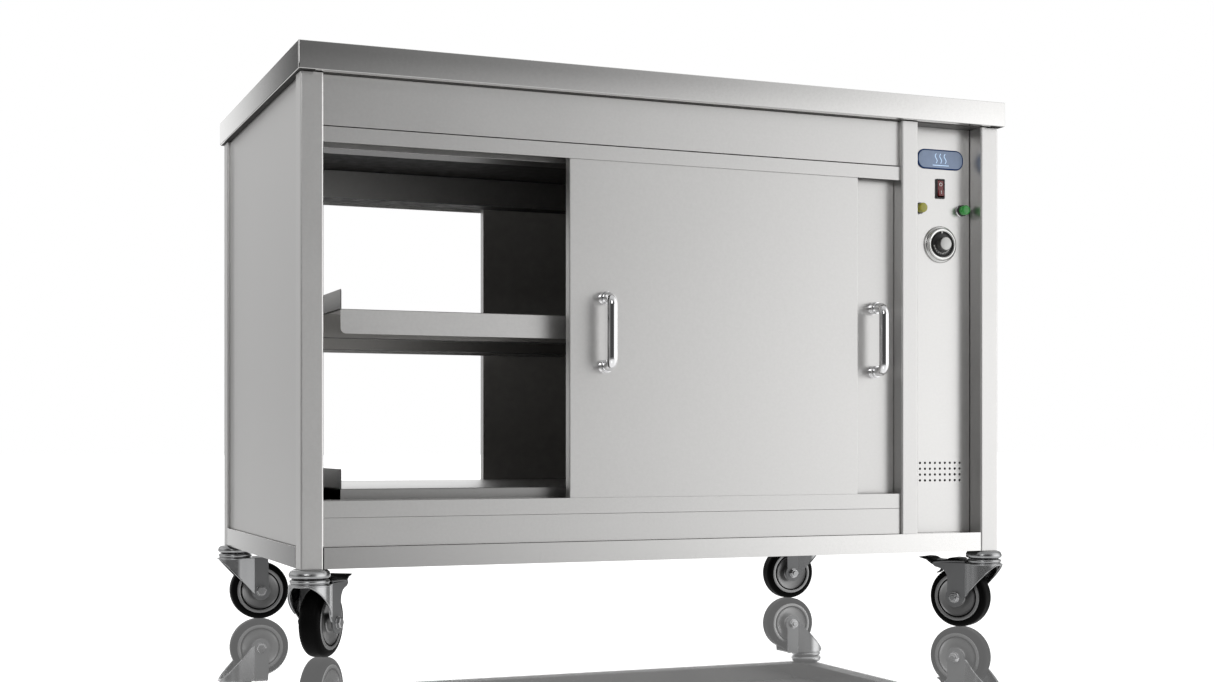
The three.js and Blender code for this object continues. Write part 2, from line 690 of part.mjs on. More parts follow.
function castorFork(braked) {
  const { skirt, wall, plateIn, plateOut, crown, top } = FORK;
  const shell = turned([
    [0, crown],
    [skirt - wall, crown],
    [skirt - wall, 36],
    [skirt, 36],
    [skirt, 110.5],
    [29.2, 113],
    [30.2, 116.5],
    [26, top],
    [0, top],
  ], CASTOR_SEGMENTS);
  // The skirt is sliced from its front lip down to the axle, and it is open behind.
  const far = 80;
  const cutAt = (x) => SKIRT_CUT.height - SKIRT_CUT.slope * x;
  const slice = alongY(outline([[-far, cutAt(-far)], [far, cutAt(far)], [far, -60], [-far, -60]]), -60, 60);
  const opening = box(10, 60, -plateIn, plateIn, 0, crown - GAP);
  const plates = [-1, 1].map((sign) => {
    const [y0, y1] = sign < 0 ? [-plateOut, -plateIn] : [plateIn, plateOut];
    return alongY(forkPlate(braked), y0, y1, 10);
  });
  const axle = cylinderAlongY(AXLE_RADIUS, -plateOut, plateOut, 10, WHEEL.trail, WHEEL.radius);
  const heads = [[-plateOut - 6, -plateOut + 0.5], [plateOut - 0.5, plateOut + 6]].map(([y0, y1]) => {
    return cylinderAlongY(8.5, y0, y1, 6, WHEEL.trail, WHEEL.radius);
  });
  return joined(cut(shell, slice, opening), ...plates, axle, ...heads);
}

function castorHub() {
  const { hub, boss, tread } = WHEEL;
  const bore = AXLE_RADIUS + GAP;
  const profile = [
    [bore, -boss],
    [12, -boss],
    [12, -tread + 2],
    [hub, -tread + 0.5],
    [hub, tread - 0.5],
    [12, tread - 2],
    [12, boss],
    [bore, boss],
    [bore, -boss],
  ];
  return turned(profile, CASTOR_SEGMENTS).rotateX(-Math.PI / 2);
}

function castorTyre() {
  const { radius, hub, tread } = WHEEL;
  const inner = hub + GAP;
  const profile = [
    [inner, -tread + 0.5],
    [inner + 3, -tread],
    [radius - 2.6, -tread + 3],
    [radius, -tread + 9],
    [radius, tread - 9],
    [radius - 2.6, tread - 3],
    [inner + 3, tread],
    [inner, tread - 0.5],
    [inner, -tread + 0.5],
  ];
  return turned(profile, CASTOR_SEGMENTS).rotateX(-Math.PI / 2);
}

function brakePedal() {
  const shape = outline([
    [34, 108],
    [60, 107.5],
    [76, 106.8],
    [86, 108],
    [95, 112.5],
    [104, 117],
    [107.5, 118.2],
    [107.5, 119],
    [95.5, 120.9],
    [78.5, 121.4],
    [71, 116],
    [34, 116],
  ]);
  return alongY(shape, -PEDAL_HALF_WIDTH, PEDAL_HALF_WIDTH);
}

function addCastors() {
  for (const side of ['front', 'rear']) {
    for (const [hand, sign] of [['left', -1], ['right', 1]]) {
      const corner = `${side}_${hand}`;
      const braked = side === 'front';
      const fixed = new THREE.Group();
      const stem = [sign * (HALF_X - LEG_SIDE / 2), SIDES[side] * (HALF_Y - LEG_SIDE / 2)];
      fixed.position.set(...stem, -BODY_RISE);
      cabinet.add(fixed);
      add(`castor_${corner}_head`, castorHead(), zinc(), fixed);

      const swivel = new THREE.Group();
      swivel.rotation.z = THREE.MathUtils.degToRad(CASTOR_HEADINGS[corner]);
      fixed.add(swivel);
      add(`castor_${corner}_fork`, castorFork(braked), zinc(), swivel);
      if (braked) {
        add(`castor_${corner}_pedal`, brakePedal(), blackPlastic(), swivel);
      }

      const wheel = new THREE.Group();
      wheel.position.set(WHEEL.trail, 0, WHEEL.radius);
      swivel.add(wheel);
      add(`castor_${corner}_hub`, castorHub(), greyPlastic(), wheel);
      add(`castor_${corner}_tyre`, castorTyre(), rubber(), wheel);
    }
  }
}

addLegs();
addPosts();
addBaseFrame();
addWorktop();
addSidePanels();
addFasciasAndTracks();
addChamber();
addShelves();
addDoors();
addControlPanel();
addRearCover();
addSwitch();
addLamps();
addThermostat();
addFan();
addHeatingElement();
addCastors();

const hotCupboard = new THREE.Group();
hotCupboard.add(cabinet);

export default hotCupboard;
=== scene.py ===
"""Looks of a mobile hot cupboard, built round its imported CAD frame.

Positions are in metres in the frame's axes: the front faces -Y and +Z is up.
Shapes are drawn in millimetres in a frame of their own, and piece() scales and places them.
"""

import json
import math

import bmesh
import bpy
from mathutils import Matrix, Vector


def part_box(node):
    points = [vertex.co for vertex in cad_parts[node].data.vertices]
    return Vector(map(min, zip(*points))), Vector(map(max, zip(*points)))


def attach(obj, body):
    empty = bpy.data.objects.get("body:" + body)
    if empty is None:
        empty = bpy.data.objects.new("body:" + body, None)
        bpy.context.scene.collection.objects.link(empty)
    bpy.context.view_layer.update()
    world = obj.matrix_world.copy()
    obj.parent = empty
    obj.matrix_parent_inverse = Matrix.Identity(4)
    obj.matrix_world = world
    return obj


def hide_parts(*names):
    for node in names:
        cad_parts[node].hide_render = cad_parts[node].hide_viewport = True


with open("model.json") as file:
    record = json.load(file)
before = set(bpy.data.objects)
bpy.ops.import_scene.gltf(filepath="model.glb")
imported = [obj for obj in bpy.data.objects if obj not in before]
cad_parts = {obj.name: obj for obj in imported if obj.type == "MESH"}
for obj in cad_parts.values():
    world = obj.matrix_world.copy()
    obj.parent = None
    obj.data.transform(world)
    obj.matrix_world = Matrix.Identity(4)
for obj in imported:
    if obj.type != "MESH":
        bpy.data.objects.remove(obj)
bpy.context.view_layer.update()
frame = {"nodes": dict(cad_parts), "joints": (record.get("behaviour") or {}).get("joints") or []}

NODES = frame["nodes"]
JOINTS = {joint["name"]: joint for joint in frame["joints"]}
MM = 0.001
CORNERS = ("front_left", "front_right", "rear_left", "rear_right")
BRAKED = ("front_left", "front_right")

# Turns that stand a plate drawn in X and Y upright, its first axis along Y or along X.
STOOD_ALONG_Y = Matrix(((0, 0, 1, 0), (1, 0, 0, 0), (0, 1, 0, 0), (0, 0, 0, 1)))
STOOD_ALONG_X = Matrix(((1, 0, 0, 0), (0, 0, -1, 0), (0, 1, 0, 0), (0, 0, 0, 1)))


# ---------------------------------------------------------------- outlines and meshes, in millimetres

def filleted(points, radius, closed=True, steps=5):
    """The outline with its corners rounded. radius is one number, or one for each point."""
    count = len(points)
    radii = radius if isinstance(radius, (list, tuple)) else [radius] * count
    rounded = []
    for i, point in enumerate(points):
        here = Vector(point)
        if radii[i] <= 0 or (not closed and i in (0, count - 1)):
            rounded.append(here)
            continue
        to_last = (Vector(points[i - 1]) - here).normalized()
        to_next = (Vector(points[(i + 1) % count]) - here).normalized()
        half_angle = to_last.angle(to_next) / 2
        bisector = (to_last + to_next).normalized()
        centre = here + bisector * radii[i] / math.sin(half_angle)
        start = here + to_last * radii[i] / math.tan(half_angle) - centre
        end = here + to_next * radii[i] / math.tan(half_angle) - centre
        sweep = start.angle_signed(end)
        for k in range(steps + 1):
            turn = Matrix.Rotation(-sweep * k / steps, 2)
            rounded.append(centre + turn @ start)
    return rounded


def rectangle(width, height, radius=0.0, centre=(0.0, 0.0), steps=5):
    """A rectangle round a centre, with rounded corners where a radius is given."""
    x, y = width / 2, height / 2
    corners = [(x, -y), (x, y), (-x, y), (-x, -y)]
    corners = [(a + centre[0], b + centre[1]) for a, b in corners]
    return filleted(corners, radius, steps=steps) if radius else [Vector(c) for c in corners]


def circle(radius, centre=(0.0, 0.0), segments=24):
    """A circle round a centre."""
    turn = 2 * math.pi / segments
    return [
        Vector((centre[0] + radius * math.cos(i * turn), centre[1] + radius * math.sin(i * turn)))
        for i in range(segments)
    ]


def extruded(outline, low, high, holes=()):
    """A plate: an outline with holes through it, between two heights."""
    bm = bmesh.new()
    for loop in (outline, *holes):
        verts = [bm.verts.new((p[0], p[1], low)) for p in loop]
        for i, vert in enumerate(verts):
            bm.edges.new((vert, verts[(i + 1) % len(verts)]))
    if holes:
        bmesh.ops.triangle_fill(bm, use_beauty=True, edges=bm.edges[:])
    else:
        bm.faces.new(bm.verts[:])
    top = bmesh.ops.extrude_face_region(bm, geom=bm.faces[:])
    lifted = [v for v in top["geom"] if isinstance(v, bmesh.types.BMVert)]
    bmesh.ops.translate(bm, verts=lifted, vec=(0, 0, high - low))
    return bm


def block(low, high):
    """A box between two corners."""
    bm = bmesh.new()
    bmesh.ops.create_cube(bm, size=1)
    size = Vector(high) - Vector(low)
    middle = (Vector(high) + Vector(low)) / 2
    bmesh.ops.transform(bm, matrix=Matrix.Translation(middle) @ Matrix.Diagonal((*size, 1)), verts=bm.verts)
    return bm


def turned(profile, segments=72, ring=False):
    """A solid turned about +Z from (radius, height) points. A ring's profile closes on itself."""
    on_axis = 1e-6
    bm = bmesh.new()
    turn = 2 * math.pi / segments
    loops = []
    for radius, height in profile:
        if radius < on_axis:
            loops.append([bm.verts.new((0, 0, height))] * segments)
        else:
            loops.append([
                bm.verts.new((radius * math.cos(i * turn), radius * math.sin(i * turn), height))
                for i in range(segments)
            ])
    pairs = list(zip(loops, loops[1:]))
    if ring:
        pairs.append((loops[-1], loops[0]))
    for lower, upper in pairs:
        for i in range(segments):
            j = (i + 1) % segments
            corners = dict.fromkeys([lower[i], lower[j], upper[j], upper[i]])
            if len(corners) > 2:
                bm.faces.new(corners)
    return bm


def lofted(sections, closed=False):
    """A skin through sections with equal counts of points; an open loft gets end caps."""
    bm = bmesh.new()
    loops = [[bm.verts.new(p) for p in section] for section in sections]
    pairs = list(zip(loops, loops[1:]))
    if closed:
        pairs.append((loops[-1], loops[0]))
    for a, b in pairs:
        for i in range(len(a)):
            j = (i + 1) % len(a)
            bm.faces.new((a[i], a[j], b[j], b[i]))
    if not closed:
        bm.faces.new(loops[0])
        bm.faces.new(loops[-1])
    return bm


def swept(path, radius, segments=24, closed=False):
    """A round rod along a path of points."""
    path = [Vector(p) for p in path]
    count = len(path)
    side = None
    sections = []
    for i, point in enumerate(path):
        ahead = path[(i + 1) % count] if closed or i < count - 1 else point
        behind = path[i - 1] if closed or i > 0 else point
        along = (ahead - behind).normalized()
        if side is None:
            side = along.orthogonal().normalized()
        side = (side - along * side.dot(along)).normalized()
        other = along.cross(side)
        turn = 2 * math.pi / segments
        sections.append([
            point + radius * (math.cos(k * turn) * side + math.sin(k * turn) * other)
            for k in range(segments)
        ])
    return lofted(sections, closed)


def joined(*parts):
    """Several meshes in one; each stays a closed solid of its own."""
    whole = bmesh.new()
    for part in parts:
        loose = bpy.data.meshes.new("loose")
        part.to_mesh(loose)
        whole.from_mesh(loose)
        bpy.data.meshes.remove(loose)
        part.free()
    return whole


def moved(bm, matrix):
    """A mesh put through a matrix whose lengths are in millimetres."""
    bmesh.ops.transform(bm, matrix=matrix, verts=bm.verts)
    return bm


def shifted(bm, x=0.0, y=0.0, z=0.0):
    """A mesh moved along the axes, in millimetres."""
    return moved(bm, Matrix.Translation((x, y, z)))


def arc(centre, radius, start, end, steps):
    """Points of a plane arc, with its angles in degrees."""
    turns = [math.radians(start + (end - start) * i / steps) for i in range(steps + 1)]
    return [(centre[0] + radius * math.cos(t), centre[1] + radius * math.sin(t)) for t in turns]


def out_of_front(x, y, z):
    """A frame on a front face: its Z points out of the face, and its Y up."""
    return Matrix.Translation((x, y, z)) @ Matrix.Rotation(math.radians(90), 4, "X")


def out_of_rear(x, y, z):
    """A frame on a rear face: its Z points out of the face, and its Y up."""
    return Matrix.Translation((x, y, z)) @ Matrix.Rotation(math.pi, 4, "Z") @ out_of_front(0, 0, 0)


# ---------------------------------------------------------------- pieces

def soften_edges(obj, width, segments=2, angle=28):
    """Rounds the sharp edges of a mesh of flat faces, so that they catch the light."""
    weld = obj.modifiers.new("weld", "WELD")
    weld.merge_threshold = 1e-5
    flatten = obj.modifiers.new("flatten", "DECIMATE")
    flatten.decimate_type = "DISSOLVE"
    flatten.angle_limit = math.radians(0.5)
    bevel = obj.modifiers.new("bevel", "BEVEL")
    bevel.width = width * MM
    bevel.segments = segments
    bevel.limit_method = "ANGLE"
    bevel.angle_limit = math.radians(angle)
    bevel.miter_outer = "MITER_ARC"
    normals = obj.modifiers.new("normals", "WEIGHTED_NORMAL")
    normals.weight = 80


def keep_flats_flat(obj):
    """Leans each normal to its largest face, so that flat faces next to round corners shade flat."""
    normals = obj.modifiers.new("normals", "WEIGHTED_NORMAL")
    normals.weight = 80
    normals.keep_sharp = True


def piece(name, bm, material, body, place=Matrix.Identity(4), replaces=(), edge=0.0, sharp=38):
    """A finished piece that rides on a body. place puts its millimetre mesh in the frame."""
    bmesh.ops.transform(bm, matrix=place @ Matrix.Scale(MM, 4), verts=bm.verts)
    bmesh.ops.recalc_face_normals(bm, faces=bm.faces[:])
    mesh = bpy.data.meshes.new(name)
    bm.to_mesh(mesh)
    bm.free()
    mesh.materials.append(material)
    mesh.shade_smooth()
    mesh.set_sharp_from_angle(angle=math.radians(sharp))
    obj = bpy.data.objects.new(name, mesh)
    bpy.context.scene.collection.objects.link(obj)
    if edge:
        soften_edges(obj, edge)
    else:
        keep_flats_flat(obj)
    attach(obj, body)
    if replaces:
        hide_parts(*replaces)
    return obj


def middle_of(node):
    """The middle of a CAD node's box, in metres."""
    low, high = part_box(node)
    return (low + high) / 2


def in_mm(vector):
    """A place in metres as millimetres."""
    return Vector(vector) / MM


def corners_in_mm(box):
    """A box's low and high corners, in millimetres."""
    return [in_mm(corner) for corner in box]


# ---------------------------------------------------------------- materials

def new_material(name, settings):
    """A material, its nodes and its main shader with some of its sockets set."""
    material = bpy.data.materials.new(name)
    material.use_nodes = True
    shader = material.node_tree.nodes["Principled BSDF"]
    for socket, value in settings.items():
        shader.inputs[socket].default_value = value
    return material, material.node_tree, shader


def noise(tree, per_metre, detail=2.0, seed=0.0):
    """Noise fixed to the object. per_metre is how many features a metre holds along X, Y and Z."""
    place = tree.nodes.new("ShaderNodeTexCoord")
    stretch = tree.nodes.new("ShaderNodeMapping")
    stretch.inputs["Scale"].default_value = per_metre
    stretch.inputs["Location"].default_value = (seed, seed, seed)
    texture = tree.nodes.new("ShaderNodeTexNoise")
    texture.inputs["Scale"].default_value = 1.0
    texture.inputs["Detail"].default_value = detail
    tree.links.new(place.outputs["Object"], stretch.inputs["Vector"])
    tree.links.new(stretch.outputs["Vector"], texture.inputs["Vector"])
    return texture.outputs["Fac"]


def spread(tree, value, low, high, from_low=0.3, from_high=0.7):
    """Maps noise, which mostly lies from 0.3 to 0.7, to a range of values."""
    change = tree.nodes.new("ShaderNodeMapRange")
    change.inputs["From Min"].default_value = from_low
    change.inputs["From Max"].default_value = from_high
    change.inputs["To Min"].default_value = low
    change.inputs["To Max"].default_value = high
    tree.links.new(value, change.inputs["Value"])
    return change.outputs["Result"]


def blended(tree, factor, dark, light):
    """A colour between two, as a value goes from 0 to 1."""
    mix = tree.nodes.new("ShaderNodeMix")
    mix.data_type = "RGBA"
    mix.inputs["A"].default_value = (*dark, 1)
    mix.inputs["B"].default_value = (*light, 1)
    tree.links.new(factor, mix.inputs["Factor"])
    return mix.outputs["Result"]


def combined(tree, operation, a, b):
    """Two values put together by a math node."""
    total = tree.nodes.new("ShaderNodeMath")
    total.operation = operation
    tree.links.new(a, total.inputs[0])
    tree.links.new(b, total.inputs[1])
    return total.outputs["Value"]


def bumped(tree, shader, height, strength, depth):
    """Adds bump to a shader. depth is in millimetres."""
    bump = tree.nodes.new("ShaderNodeBump")
    bump.inputs["Strength"].default_value = strength
    bump.inputs["Distance"].default_value = depth * MM
    tree.links.new(height, bump.inputs["Height"])
    tree.links.new(bump.outputs["Normal"], shader.inputs["Normal"])


def shade(colour, amount):
    """A colour made lighter or darker."""
    return tuple(max(0.0, min(1.0, c * amount)) for c in colour)


def brushed_steel(name, colour, roughness, along="X", mottle=0.03, relief=0.12):
    """Satin stainless sheet: polish lines along one axis, and the fine mottling of a rolled surface."""
    material, tree, shader = new_material(name, {"Metallic": 1.0})
    coarse, fine = 30, 900
    lines = noise(tree, [coarse if axis == along else fine for axis in "XYZ"], detail=3.0)
    speckle = noise(tree, (230, 230, 230), detail=3.0, seed=7.0)
    cloud = noise(tree, (7, 7, 7), detail=2.0, seed=3.0)
    height = combined(tree, "ADD", spread(tree, lines, 0.0, 0.35), spread(tree, speckle, 0.0, 1.0))
    relief_tone = spread(tree, height, 0.0, 0.75, 0.0, 1.35)
    tone = combined(tree, "ADD", relief_tone, spread(tree, cloud, 0.0, 0.25))
    tint = blended(tree, tone, shade(colour, 1 - mottle), shade(colour, 1 + mottle))
    tree.links.new(tint, shader.inputs["Base Color"])
    rough = spread(tree, tone, roughness * 0.9, roughness * 1.1, 0.0, 1.0)
    tree.links.new(rough, shader.inputs["Roughness"])
    bumped(tree, shader, height, relief, 0.12)
    return material


def polished_metal(name, colour, roughness, smears=0.25):
    """Plated or polished metal. smears is how far its roughness varies."""
    material, tree, shader = new_material(name, {"Metallic": 1.0})
    smear = noise(tree, (90, 90, 40), detail=4.0)
    tint = blended(tree, smear, shade(colour, 0.96), shade(colour, 1.03))
    tree.links.new(tint, shader.inputs["Base Color"])
    rough = spread(tree, smear, roughness * (1 - smears), roughness * (1 + smears))
    tree.links.new(rough, shader.inputs["Roughness"])
    return material


def moulded_plastic(name, colour, roughness, texture=0.15, grain=1400, gloss=0.5):
    """Moulded plastic or rubber with its fine spark texture."""
    material, tree, shader = new_material(name, {"Metallic": 0.0, "Specular IOR Level": gloss})
    fine = noise(tree, (grain, grain, grain), detail=2.0)
    broad = noise(tree, (60, 60, 60), detail=3.0, seed=5.0)
    tint = blended(tree, broad, shade(colour, 0.85), shade(colour, 1.15))
    tree.links.new(tint, shader.inputs["Base Color"])
    tree.links.new(spread(tree, broad, roughness * 0.85, roughness * 1.15), shader.inputs["Roughness"])
    bumped(tree, shader, fine, texture, 0.05)
    return material


def tinted_lens(name, colour, glow):
    """A translucent moulded cap over its lamp, glowing with emission; the badge's print uses it too, and its
    glow there is painted light.
    """
    material, tree, shader = new_material(name, {
        "Roughness": 0.22,
        "Coat Weight": 0.4,
        "Coat Roughness": 0.08,
        "Subsurface Weight": 0.35,
        "Subsurface Radius": (0.004, 0.004, 0.004),
        "Emission Color": (*colour, 1),
        "Emission Strength": glow,
    })
    cloud = noise(tree, (500, 500, 500), detail=2.0)
    tree.links.new(blended(tree, cloud, shade(colour, 0.8), shade(colour, 1.2)), shader.inputs["Base Color"])
    bumped(tree, shader, cloud, 0.05, 0.05)
    return material


STEEL = (0.605, 0.6, 0.592)

# Sheet outside; lighter and darker copies of it, and dark faces, that paint light and shade inside,
# underneath and in the tracks.
panel_steel = brushed_steel("panel_steel", STEEL, 0.34, mottle=0.035)
# Painted light: the legs and posts are a lighter copy of the sheet, standing in for the light they catch.
lit_upright_steel = brushed_steel("lit_upright_steel", shade(STEEL, 1.05), 0.36, along="Z", relief=0.05)
# Painted shade: the base rails are a slightly darker copy of the sheet.
rail_steel = brushed_steel("rail_steel", shade(STEEL, 0.97), 0.12, relief=0.03)
# Painted shade: the base frame's side faces are a much darker copy of the sheet, standing in for the shade
# on them.
shaded_side_rail_steel = brushed_steel("shaded_side_rail_steel", shade(STEEL, 0.64), 0.14, along="Y", relief=0.03)
top_steel = brushed_steel("top_steel", STEEL, 0.075, relief=0.02)
control_steel = brushed_steel("control_steel", STEEL, 0.3, relief=0.1)
# Painted shade: a darker copy of the sheet for the chamber's floor, partition and shelf frame, where shade
# falls inside.
shaded_inner_steel = brushed_steel("shaded_inner_steel", (0.4, 0.392, 0.38), 0.33, along="Y", mottle=0.05)
# Painted shade: the shelves' end upstands are a far darker copy of the sheet, standing in for the shade on
# their inner sides.
shaded_end_steel = brushed_steel("shaded_end_steel", shade(STEEL, 0.3), 0.33, along="Y", mottle=0.05)
# Painted light and shade: the middle shelf is a lighter copy of the sheet and the bottom shelf a darker one.
lit_shelf_steel = brushed_steel("lit_shelf_steel", shade(STEEL, 1.12), 0.33, mottle=0.04, relief=0.08)
shaded_low_shelf_steel = brushed_steel("shaded_low_shelf_steel", shade(STEEL, 0.66), 0.34, mottle=0.04, relief=0.08)
# Painted shade: near-black steel for the front top track's undersides and the worktop's packing.
shaded_track_steel = brushed_steel("shaded_track_steel", (0.085, 0.082, 0.078), 0.45, mottle=0.05)
sheath = brushed_steel("sheath", (0.16, 0.14, 0.125), 0.42, mottle=0.25)
# Painted shade: a dark matte face for the undersides of the chamber floor and base frame.
shaded_under_face = moulded_plastic("shaded_under_face", (0.09, 0.09, 0.088), 0.5, texture=0.03, gloss=0.1)
# Painted light: the rear doors' inner faces are a light matte grey in place of steel, standing in for the
# light on them.
lit_inner_face = moulded_plastic("lit_inner_face", (0.29, 0.28, 0.27), 0.5, texture=0.03, gloss=0.3)
# Painted shade: a near-black matte for the chamber's ceiling, the undersides of the rear top track and shelf
# frame, and the blocks under the worktop's ends.
shaded_dark_face = moulded_plastic("shaded_dark_face", (0.035, 0.034, 0.033), 0.6, texture=0.03, gloss=0.05)

# Fittings.
chrome = polished_metal("chrome", (0.9, 0.9, 0.91), 0.05)
bezel_metal = polished_metal("bezel_metal", (0.66, 0.66, 0.65), 0.2, smears=0.05)
knob_metal = polished_metal("knob_metal", (0.44, 0.44, 0.43), 0.36)
zinc = polished_metal("zinc", (0.38, 0.383, 0.387), 0.24, smears=0.03)
zinc_plate = polished_metal("zinc_plate", (0.23, 0.232, 0.235), 0.55, smears=0.02)
bolt_metal = polished_metal("bolt_metal", (0.5, 0.5, 0.505), 0.16, smears=0.03)
hub_grey = polished_metal("hub_grey", (0.31, 0.31, 0.31), 0.4, smears=0.03)
tyre_rubber = moulded_plastic("tyre_rubber", (0.002, 0.002, 0.002), 0.5, grain=900, gloss=0.05)
pedal_paint = moulded_plastic("pedal_paint", (0.005, 0.005, 0.006), 0.4, texture=0.1, gloss=0.2)
black_plastic = moulded_plastic("black_plastic", (0.012, 0.012, 0.013), 0.38)
black_print = moulded_plastic("black_print", (0.01, 0.01, 0.011), 0.3, texture=0.05)
white_print = moulded_plastic("white_print", (0.8, 0.8, 0.78), 0.45, texture=0.03)
badge_rim = moulded_plastic("badge_rim", (0.006, 0.035, 0.14), 0.4, texture=0.02, gloss=0.15)
badge_face = moulded_plastic("badge_face", (0.26, 0.34, 0.5), 0.16, texture=0.02)
# Painted light: the badge's printed sign glows, though no lamp is behind it.
glowing_badge_print = tinted_lens("glowing_badge_print", (0.56, 0.74, 1.0), 0.45)
red_plastic = tinted_lens("red_plastic", (0.14, 0.003, 0.004), 0.12)
yellow_lens = tinted_lens("yellow_lens", (0.3, 0.285, 0.02), 0.1)
green_lens = tinted_lens("green_lens", (0.012, 0.22, 0.025), 0.25)


# ---------------------------------------------------------------- CAD nodes that stay

# Each node's metal, and how far its edges are rounded in millimetres.
STAYING = {
    "base_frame": (rail_steel, 0.8),
    "side_panel_left": (panel_steel, 0.5),
    "side_panel_right": (panel_steel, 0.5),
    "column_rear_cover": (panel_steel, 0.5),
    # The chamber's floor, partition and shelf frame take the darker inner steel, painted shade.
    "chamber_floor": (shaded_inner_steel, 0.5),
    # The chamber's ceiling is near-black, painted shade.
    "chamber_ceiling": (shaded_dark_face, 0.5),
    "partition": (shaded_inner_steel, 0.4),
    "shelf_frame": (shaded_inner_steel, 0.12),
    "fan_housing": (zinc_plate, 0.3),
    "fan_rotor": (zinc_plate, 0.3),
}
for side in ("front", "rear"):
    STAYING[f"upper_fascia_{side}"] = (panel_steel, 0.5)
    STAYING[f"top_track_{side}"] = (panel_steel, 0.35)
    STAYING[f"bottom_track_{side}"] = (panel_steel, 0.35)
    STAYING[f"lower_panel_{side}"] = (panel_steel, 0.5)
    for hand in ("left", "right"):
        STAYING[f"door_{side}_{hand}"] = (panel_steel, 0.7)

# Painted shade on the faces of a node that look one way, and painted light on the rear doors' inner faces.
PAINTED_LIGHT_FACES = {
    # The top tracks' and shelf frame's undersides get near-black materials, painted shade.
    "top_track_front": {"down": shaded_track_steel},
    "top_track_rear": {"down": shaded_dark_face},
    "shelf_frame": {"down": shaded_dark_face},
    # The undersides of the chamber floor and base frame get the dark face, painted shade.
    "chamber_floor": {"down": shaded_under_face},
    # The base frame's side faces get the much darker steel, painted shade.
    "base_frame": {"down": shaded_under_face, "sideways": shaded_side_rail_steel},
    # The rear doors' inner faces get the light grey, painted light.
    "door_rear_left": {"forward": lit_inner_face},
    "door_rear_right": {"forward": lit_inner_face},
}


def outlook(normal, steep=0.7):
    """Which way a face looks, where it is steep enough to say so."""
    if normal.z < -steep:
        return "down"
    if abs(normal.x) > steep:
        return "sideways"
    if normal.y < -steep:
        return "forward"
    return None


def dress(node, metal, edge):
    """Gives a CAD node its metal, with the painted-shade and painted-light materials on the faces listed for
    it.
    """
    obj = NODES[node]
    painted_light = PAINTED_LIGHT_FACES.get(node, {})
    obj.data.materials.clear()
    for each in (metal, *painted_light.values()):
        obj.data.materials.append(each)
    slots = {way: i + 1 for i, way in enumerate(painted_light)}
    for face in obj.data.polygons:
        face.material_index = slots.get(outlook(face.normal), 0)
    obj.data.shade_smooth()
    soften_edges(obj, edge)


for node, (metal, edge) in STAYING.items():
    dress(node, metal, edge)


# ---------------------------------------------------------------- legs, posts and worktop

def add_square_tube(node, wall=1.5, corner=3.0):
    """A drawn square tube in place of a leg or post."""
    low, high = corners_in_mm(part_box(node))
    width, depth = high.x - low.x, high.y - low.y
    centre = ((low.x + high.x) / 2, (low.y + high.y) / 2)
    outer = rectangle(width, depth, corner, centre, steps=6)
    bore = rectangle(width - 2 * wall, depth - 2 * wall, corner - wall, centre, steps=6)
    tube = extruded(outer, low.z, high.z, holes=[bore])
    piece(f"{node}_tube", tube, lit_upright_steel, "cabinet", replaces=[node], sharp=50)


def add_worktop():
    """A folded top with slightly bowed long edges, on near-black packing set back under it that paints the
    shadow line below the top, with a near-black block under each end that paints the shade there.
    """
    low, high = corners_in_mm(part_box("worktop"))
    width, depth = high.x - low.x, high.y - low.y
    centre = ((low.x + high.x) / 2, (low.y + high.y) / 2)
    corner, bow, bands = 2.0, 0.3, 4
    fold = low.z + 1.0
    rings = []
    for i in range(bands + 1):
        share = i / bands
        out = bow * (1 - (2 * share - 1) ** 2)
        z = fold + share * (high.z - fold)
        rings.append([(x, y, z) for x, y in rectangle(width, depth + 2 * out, corner, centre)])
    inset_x, inset_y = 10.8, 17.5
    # The packing is near-black, painted shade: the shadow line under the top.
    packing = block(
        (low.x + inset_x, low.y + inset_y, low.z), (high.x - inset_x, high.y - inset_y, fold + 1),
    )
    # A near-black block under each end of the top, painted shade.
    end_shade_length, margin, drop = 24.0, 2.0, 0.3
    end_shades = [
        block((x, low.y + margin, fold - drop), (x + end_shade_length, high.y - margin, fold + 1))
        for x in (low.x + margin, high.x - margin - end_shade_length)
    ]
    piece("worktop_deck", lofted(rings), top_steel, "cabinet", replaces=["worktop"],
          edge=1.1)
    piece("worktop_packing", packing, shaded_track_steel, "cabinet")
    piece("worktop_end_shades", joined(*end_shades), shaded_dark_face, "cabinet")


for node in [f"leg_{corner}" for corner in CORNERS] + ["post_front", "post_rear"]:
    add_square_tube(node)
add_worktop()


# ---------------------------------------------------------------- shelves

def add_shelf(node, lip, metal):
    """A folded shelf: a deck, a lip down each long side and an upstand at each end."""
    low, high = corners_in_mm(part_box(node))
    sheet, upstand = 1.5, 30.0
    lip_corner, end_corner = 9, 4
    top = high.z - upstand
    deck = block((low.x, low.y, top - sheet), (high.x, high.y, top))
    lip_shape = filleted(
        [(low.x, top - lip), (high.x, top - lip), (high.x, top), (low.x, top)],
        [lip_corner, lip_corner, 0, 0], steps=8,
    )
    end_shape = filleted(
        [(low.y, top - sheet), (high.y, top - sheet), (high.y, high.z), (low.y, high.z)],
        [0, 0, end_corner, end_corner], steps=6,
    )
    lips = [
        shifted(moved(extruded(lip_shape, 0, sheet), STOOD_ALONG_X), y=y + sheet)
        for y in (low.y, high.y - sheet)
    ]
    ends = [
        shifted(moved(extruded(end_shape, 0, sheet), STOOD_ALONG_Y), x=x)
        for x in (low.x, high.x - sheet)
    ]
    piece(f"{node}_pan", joined(deck, *lips), metal, "cabinet", replaces=[node],
          edge=0.3)
    # The upstands take the far darker steel, painted shade.
    piece(f"{node}_upstands", joined(*ends), shaded_end_steel, "cabinet", edge=0.3)


# The middle shelf gets the lighter steel and the bottom shelf the darker one, painted light and shade.
add_shelf("shelf_middle", lip=37.0, metal=lit_shelf_steel)
add_shelf("shelf_bottom", lip=40.0, metal=shaded_low_shelf_steel)


